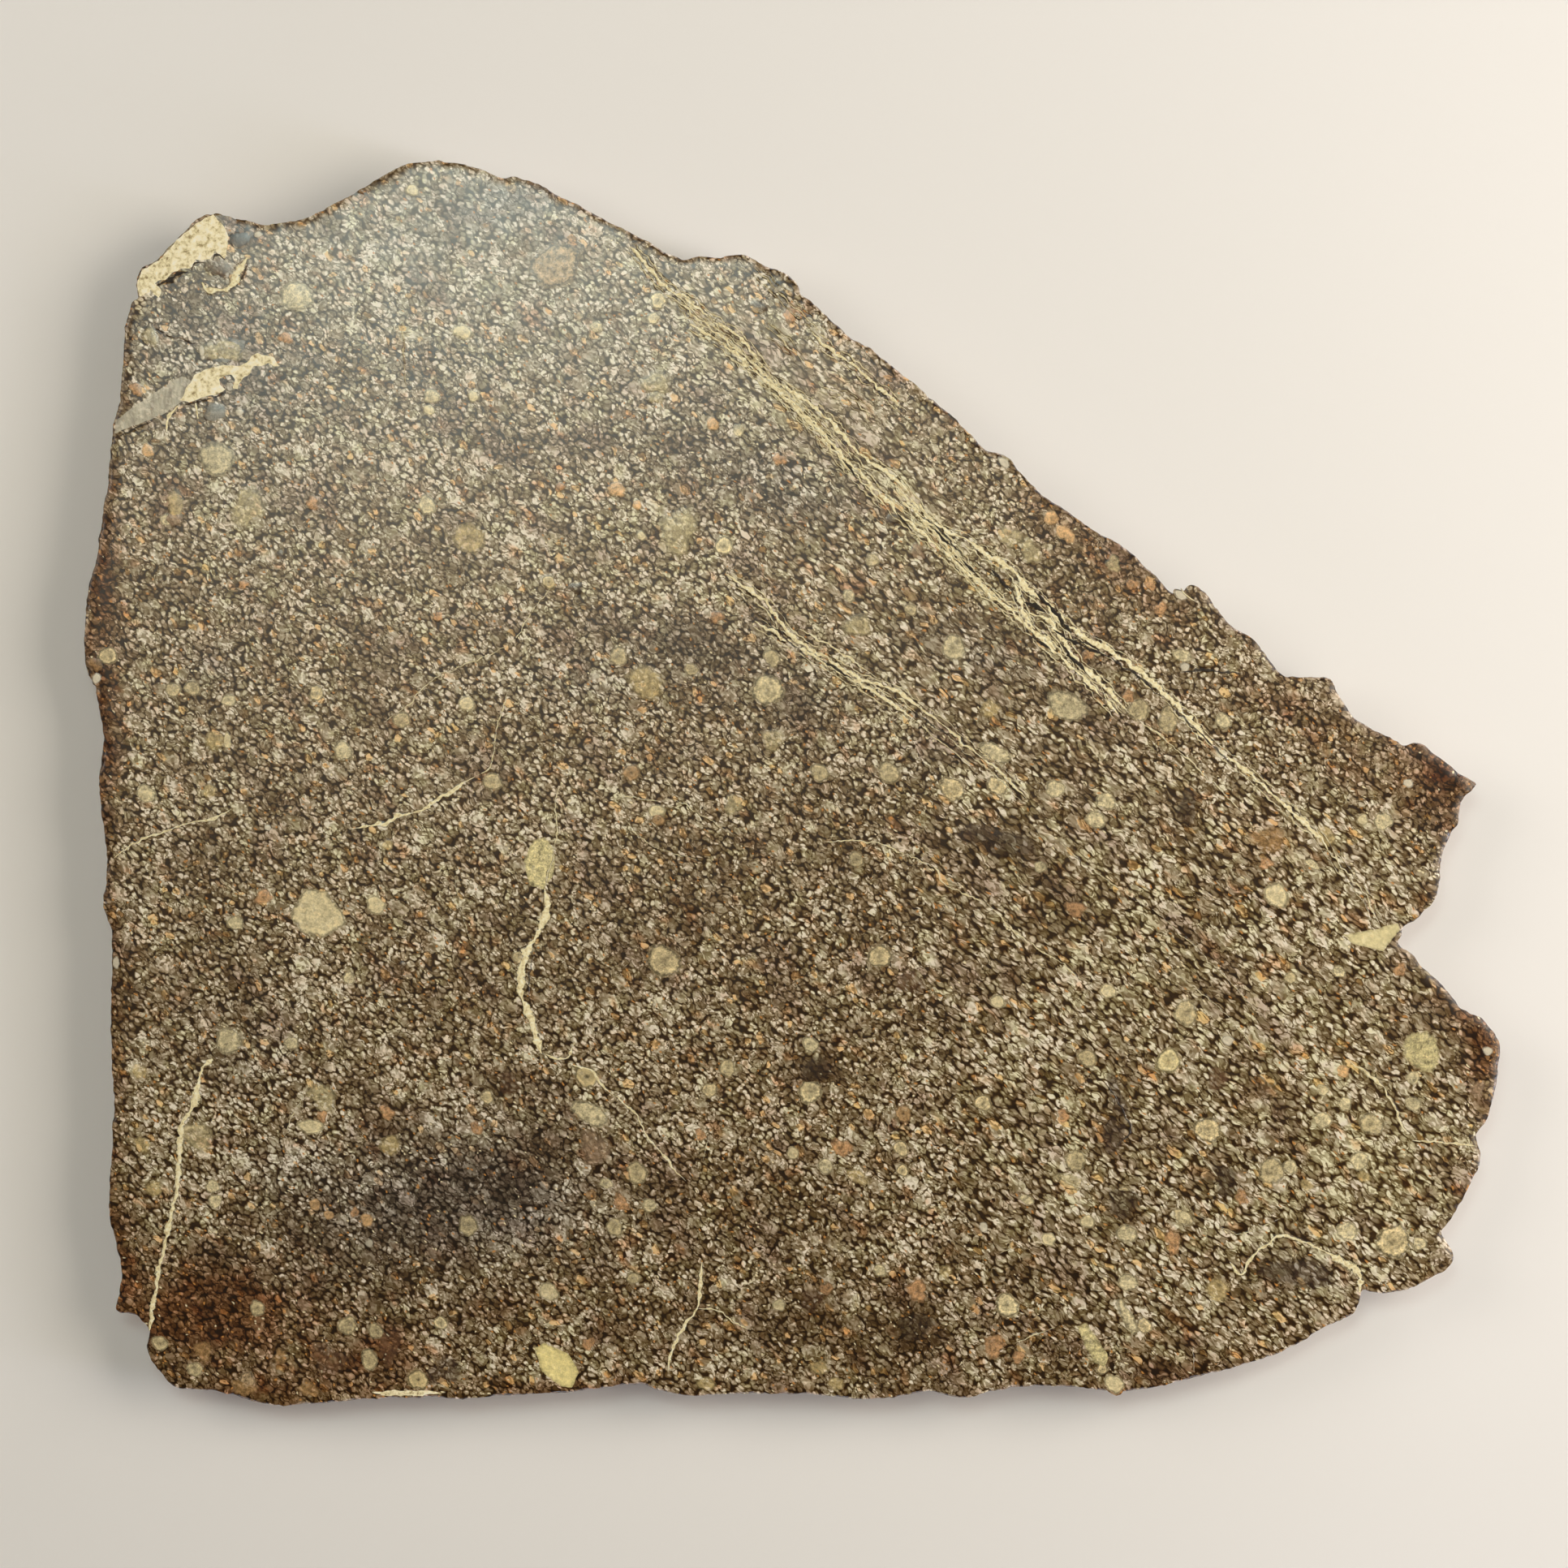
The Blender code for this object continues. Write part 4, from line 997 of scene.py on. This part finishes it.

# The same cracks where they stand open, as black gaps beside the lime and the lime crust: their black is
# painted shade in the gap
OPEN_CRACKS = [
    (5.0, 0.95, [(1262, 742), (1274, 746), (1290, 756)]),
    (4.0, 0.95, [(1298, 776), (1325, 792), (1360, 806)]),
    (5.0, 0.95, [(1268, 783), (1280, 790), (1294, 800)]),
    (3.0, 0.8, [(1360, 806), (1400, 832), (1435, 862)]),
    (3.4, 0.9, [(1306, 792), (1322, 812), (1345, 836)]),
    (2.6, 0.7, [(1130, 632), (1160, 655), (1190, 690)]),
    (2.6, 0.7, [(1200, 690), (1228, 712), (1250, 730)]),
    (3.0, 0.8, [(1455, 828), (1490, 826), (1530, 830)]), (2.2, 0.6, [(905, 730), (950, 770), (1000, 815)]),
    (2.4, 0.7, [(1363, 1334), (1392, 1388), (1376, 1412)]),
    (2.2, 0.6, [(660, 1170), (652, 1200), (652, 1230)]),
    (4.5, 0.9, [(193, 352), (204, 347), (218, 338), (232, 335)]),
    (4.0, 0.9, [(236, 333), (240, 325), (252, 323)]), (3.5, 0.8, [(262, 322), (266, 313), (278, 321)]),
    (3.0, 0.7, [(296, 347), (301, 336), (306, 325)]),
    (3.0, 0.7, [(228, 499), (246, 495), (262, 490), (278, 483)]),
    (2.5, 0.7, [(143, 539), (165, 529), (190, 518)]), (2.5, 0.6, [(192, 405), (212, 414), (240, 424)]),
    (2.6, 0.6, [(1440, 868), (1480, 905), (1520, 944)]),
    (3.4, 0.9, [(1038, 566), (1046, 576), (1056, 590)]),
    (3.6, 0.9, [(1104, 630), (1112, 641), (1124, 654)]),
    (4.2, 0.95, [(1152, 652), (1162, 664), (1174, 674)]),
    (4.2, 0.95, [(1184, 688), (1193, 698), (1204, 708)]),
    (4.4, 0.95, [(1222, 702), (1232, 714), (1244, 728)]),
    (4.6, 0.95, [(1276, 730), (1298, 752), (1320, 780)]),
    (3.2, 0.8, [(1322, 784), (1344, 796), (1366, 810)]),
    (2.6, 0.8, [(1010, 812), (1030, 824), (1052, 838)]),
    (2.4, 0.7, [(1130, 880), (1150, 894), (1172, 908)]),
]
crack_runs = [(*run, 0.04) for run in OPEN_CRACKS]

THREAD_STEP = 0.16 * MM
THREAD_SUNK = 70e-6


def threads(runs, lift, seed):
    """Thin closed threads sunk in the face: a profile of five points over the top and one below, carried
    along each run. The run wanders a little, and its width swells and shrinks to a point at both ends."""
    profile = np.array([-1.7, -0.85, 0.0, 0.85, 1.7, 0.0])
    rise = np.array([-EDGE_SUNK, 0.7 * lift, lift, 0.7 * lift, -EDGE_SUNK, -THREAD_SUNK])
    parts = []
    for i, (width, strength, pixels, jag) in enumerate(runs):
        path = smooth_path(on_face(pixels), THREAD_STEP)
        run = np.arange(len(path)) * THREAD_STEP
        ahead = np.gradient(path, axis=0)
        ahead /= np.linalg.norm(ahead, axis=1, keepdims=True)
        aside = np.stack([-ahead[:, 1], ahead[:, 0]], axis=1)
        ends = np.clip(np.minimum(run, run[-1] - run) / (1.2 * MM), 0.08, 1)
        wander = 0.07 * MM * waves(run, 4 * MM, 0.5 * MM, seed + 2 * i) * ends
        wander += jag * MM * waves(run, 2.4 * MM, 0.7 * MM, seed + 1000 + i) * ends
        swell = (1 + 0.45 * waves(run, 6 * MM, 0.5 * MM, seed + 2 * i + 1)) * ends**0.6
        half = width / 2 * METRES_PER_PIXEL * np.clip(swell, 0.06, 2)
        spread = aside[:, None] * (half[:, None] * profile)[..., None]
        flat = (path + aside * wander[:, None])[:, None] + spread
        up = FACE_HEIGHT + rise + np.where(rise > 0, (i % 5) * 2e-6, 0)
        points = np.concatenate([flat, np.broadcast_to(up[None, :, None], flat.shape[:2] + (1,))], axis=2)
        index = np.arange(len(path) * 6).reshape(-1, 6)
        a, b = index[:-1], index[1:]
        quads = np.stack([a, b, np.roll(b, -1, axis=1), np.roll(a, -1, axis=1)], axis=2).reshape(-1, 4)
        caps = np.stack([index[0], index[-1, ::-1]])
        count = points.shape[0] * 6
        across = np.broadcast_to(profile, (len(path), 6)).ravel()
        parts.append((points.reshape(-1, 3), [quads, caps], across, np.full(count, strength)))
    return joined(parts)


def vein_material(name, stops, roughness, margin):
    """What fills a crack, and for an open crack the painted shade in its gap: it breaks off raggedly to the
    stone on both sides, which a margin darkens. The weaker its thread, the narrower, more broken and fainter
    it is."""
    material, tree, shader = new_material(name)
    around = put(tree, "Group", node_tree=pattern)
    across = put(tree, "Attribute", attribute_name="across").outputs["Fac"]
    strength = put(tree, "Attribute", attribute_name="strength").outputs["Fac"]
    place = millimetres(tree)
    ragged = put(tree, "TexNoise", {"Vector": place, "Scale": 1 / 0.6, "Detail": 4.0, "Roughness": 0.8})
    off = put(tree, "Math", (across,), "ABSOLUTE")
    off = put(tree, "Math", (ragged, 3.8, off), "MULTIPLY_ADD")
    off = put(tree, "Math", (strength, -1.1, off), "MULTIPLY_ADD")
    off = put(tree, "Math", (off, 1.1), "ADD")
    line = put(tree, "MapRange", (off, 3.1, 3.6, margin, 1.0))
    stone_side = put(tree, "VectorMath", {0: around.outputs["Colour"], "Scale": line}, "SCALE")
    body = put(tree, "MapRange", (off, 2.8, 3.1, 1.0, 0.0))
    shown = put(tree, "Math", (strength, 0.5, 0.5), "MULTIPLY_ADD")
    body = put(tree, "Math", (body, shown), "MULTIPLY")
    speckle = put(tree, "TexNoise", {"Vector": place, "Scale": 1 / 0.3, "Detail": 2.0})
    filling = put(tree, "ValToRGB", (speckle,), stops=stops)
    colour = put(tree, "Mix", {0: body, 6: stone_side, 7: filling}, data_type="RGBA")
    shine = put(tree, "Mix", {0: body, 2: around.outputs["Roughness"], 3: roughness})
    feed(tree, shader, {"Base Color": colour.outputs[2], "Roughness": shine})
    return material


# Lime takes less polish than the stone, and an open crack takes none; the open crack's near-black is painted
# shade in its gap
lime_fill = vein_material("lime_vein", [(0.30, "#cbb989"), (0.48, "#f4e8ba"), (0.70, "#fffbe2")], 0.4, 0.5)
gap_shade = vein_material("open_crack_shade", [(0.3, "#050302"), (0.7, "#24190f")], 0.8, 0.8)
for name, runs, lift, seed, material in (
    ("open_cracks", crack_runs, 40e-6, 300, gap_shade), ("lime_veins", vein_runs, 28e-6, 100, lime_fill),
):
    points, faces, across, strength = threads(runs, lift, seed)
    veins = mesh_object(name, points, faces)
    give_stains_and_sheen(veins)
    give(veins, "across", across)
    give(veins, "strength", strength)
    veins.data.materials.append(material)
    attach(veins, "root")


# The lime crust: where the slice's edge lay open in the desert, caliche grew on it and into its widest
# cracks. It is cream, chalky and a little lumpy, and it is cut flush with the rest.
LIME_CRUST = [
    [(262, 264), (270, 273), (277, 283), (281, 291), (280, 304), (278, 318), (272, 317), (265, 309),
        (259, 319), (240, 320), (237, 328), (231, 332), (222, 331), (212, 337), (203, 344), (191, 348),
        (199, 358), (197, 367), (189, 363), (184, 356), (183, 362), (172, 366), (169, 348), (174, 334),
        (195, 321), (221, 293), (242, 275)],
    [(221, 494), (230, 478), (240, 463), (252, 455), (262, 452), (276, 450), (290, 451), (303, 448),
        (310, 439), (318, 436), (328, 438), (338, 442), (344, 451), (337, 452), (330, 448), (321, 452),
        (312, 451), (308, 460), (298, 467), (294, 478), (288, 479), (290, 469), (284, 462), (276, 463),
        (270, 467), (271, 474), (278, 479), (268, 484), (258, 488), (244, 492), (232, 496)],
    [(457, 1716), (480, 1713), (520, 1713), (545, 1716), (520, 1720), (480, 1720)],
]
GREY_SLIVER = [
    (141, 534), (143, 518), (160, 504), (180, 491), (200, 478), (212, 470), (224, 464), (239, 470),
    (234, 482), (224, 495), (213, 503), (200, 511), (180, 519), (160, 526),
]


def lime_crust():
    """Caliche: chalky calcium carbonate with dusty hollows and brown grains caught in it."""
    material, tree, shader = new_material("lime_crust")
    place = millimetres(tree)
    chalk = put(tree, "TexNoise", {"Vector": place, "Scale": 1 / 0.6, "Detail": 5.0, "Roughness": 0.65})
    tones = [(0.34, "#937f58"), (0.42, "#dccfa2"), (0.52, "#fff5d0"), (0.70, "#fffdf0")]
    colour = put(tree, "ValToRGB", (chalk,), stops=tones)
    shader.inputs["Roughness"].default_value = 0.75
    relief = put(tree, "Bump", {"Height": chalk, "Distance": 0.1 * MM, "Strength": 0.5})
    feed(tree, shader, {"Base Color": colour, "Normal": relief})
    return material


def grey_sliver():
    """A sliver of fine pale grey stone, smoother than the rest, with faint streaks across it."""
    material, tree, shader = new_material("grey_sliver")
    place = millimetres(tree)
    across = put(tree, "Mapping", {"Vector": place, "Rotation": (0.0, 0.0, np.radians(-30)),
                                   "Scale": (2.2, 0.5, 1.0)})
    fine = put(tree, "TexNoise", {"Vector": across, "Scale": 1 / 0.8, "Detail": 4.0})
    colour = put(tree, "ValToRGB", (fine,), stops=[(0.30, "#979184"), (0.52, "#c3bda9"), (0.70, "#dedac8")])
    around = put(tree, "Group", node_tree=pattern)
    colour = put(tree, "Mix", {0: 0.3, 6: colour, 7: around.outputs["Colour"]}, data_type="RGBA")
    feed(tree, shader, {"Base Color": colour.outputs[2]})
    shader.inputs["Roughness"].default_value = 0.22
    return material


for name, outlines, jag, lift, relief, material in (
    ("grey_sliver", [GREY_SLIVER], 0.05, 16e-6, 0.0, grey_sliver()),
    ("lime_crust", LIME_CRUST, 0.07, 34e-6, 30e-6, lime_crust()),
):
    plates = [plate(outline, jag * MM, lift, relief, 40 + i) for i, outline in enumerate(outlines)]
    points, faces, depth = joined(plates)
    crust = mesh_object(name, points, faces)
    give_stains_and_sheen(crust)
    crust.data.materials.append(material)
    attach(crust, "root")


# The table, the lights and the camera: a plain pale floor, soft studio light, and a view straight down on
# the polished face, as the picture faces it.
def table():
    """A plain pale floor, a hair below the stone."""
    bpy.ops.mesh.primitive_plane_add(size=4, location=(0, 0, -0.05 * MM))
    floor = bpy.context.object
    floor.name = "table"
    material, tree, shader = new_material("pale_table")
    shader.inputs["Base Color"].default_value = linear("#f4f4f6")
    shader.inputs["Roughness"].default_value = 0.8
    floor.data.materials.append(material)


def softbox(name, place, target, width, height, radiance, colour):
    """A rectangular studio light turned to its target. Its power is its radiance times its area times pi."""
    light = bpy.data.lights.new(name, "AREA")
    light.shape = "RECTANGLE"
    light.size, light.size_y = width, height
    light.energy = radiance * width * height * np.pi
    light.color = linear(colour)[:3]
    lamp = bpy.data.objects.new(name, light)
    bpy.context.scene.collection.objects.link(lamp)
    lamp.location = place
    lamp.rotation_euler = (lamp.location - Vector(target)).to_track_quat("Z", "Y").to_euler()
    lamp.visible_camera = False


table()
softbox("key_right", (0.27, 0.04, 0.25), (0.05, -0.02, 0), 0.25, 0.25, 4.6, "#fff3e0")
softbox("fill_left", (-0.30, 0.15, 0.30), (-0.03, 0.02, 0), 0.25, 0.25, 2.4, "#fff4e6")
softbox("sheen_box", (-0.060, 0.165, 0.62), (-0.02, 0.05, 0), 0.17, 0.12, 7.4, "#e6fbf4")
softbox("sheen_skirt", (-0.01, 0.076, 0.62), (0, 0.02, 0), 0.34, 0.11, 0.9, "#ffe9c4")
softbox("low_right", (0.6, -0.15, 0.05), (0, 0, 0.01), 0.09, 0.7, 9.0, "#e8ebff")
softbox("low_front", (0.0, -0.6, 0.05), (0, 0, 0.01), 0.9, 0.09, 7.0, "#e8ebff")
softbox("low_behind", (0.40, 0.44, 0.05), (0, 0, 0.01), 0.7, 0.09, 9.0, "#e8ebff")

# Faint warm light from all round keeps the dark gaps in the stone brown
world = bpy.data.worlds.new("studio")
world.use_nodes = True
world.node_tree.nodes["Background"].inputs["Color"].default_value = linear("#f4dcb0")
world.node_tree.nodes["Background"].inputs["Strength"].default_value = 0.12
bpy.context.scene.world = world
bpy.context.scene.view_settings.view_transform = "Standard"

camera_data = bpy.data.cameras.new("camera")
camera_data.lens, camera_data.sensor_width = 100, 36
camera = bpy.data.objects.new("camera", camera_data)
bpy.context.scene.collection.objects.link(camera)
frame_middle = on_face([PICTURE_SIDE / 2, PICTURE_SIDE / 2])
frame_width = PICTURE_SIDE * METRES_PER_PIXEL
camera.location = (*frame_middle, FACE_HEIGHT + frame_width * camera_data.lens / camera_data.sensor_width)
bpy.context.scene.camera = camera
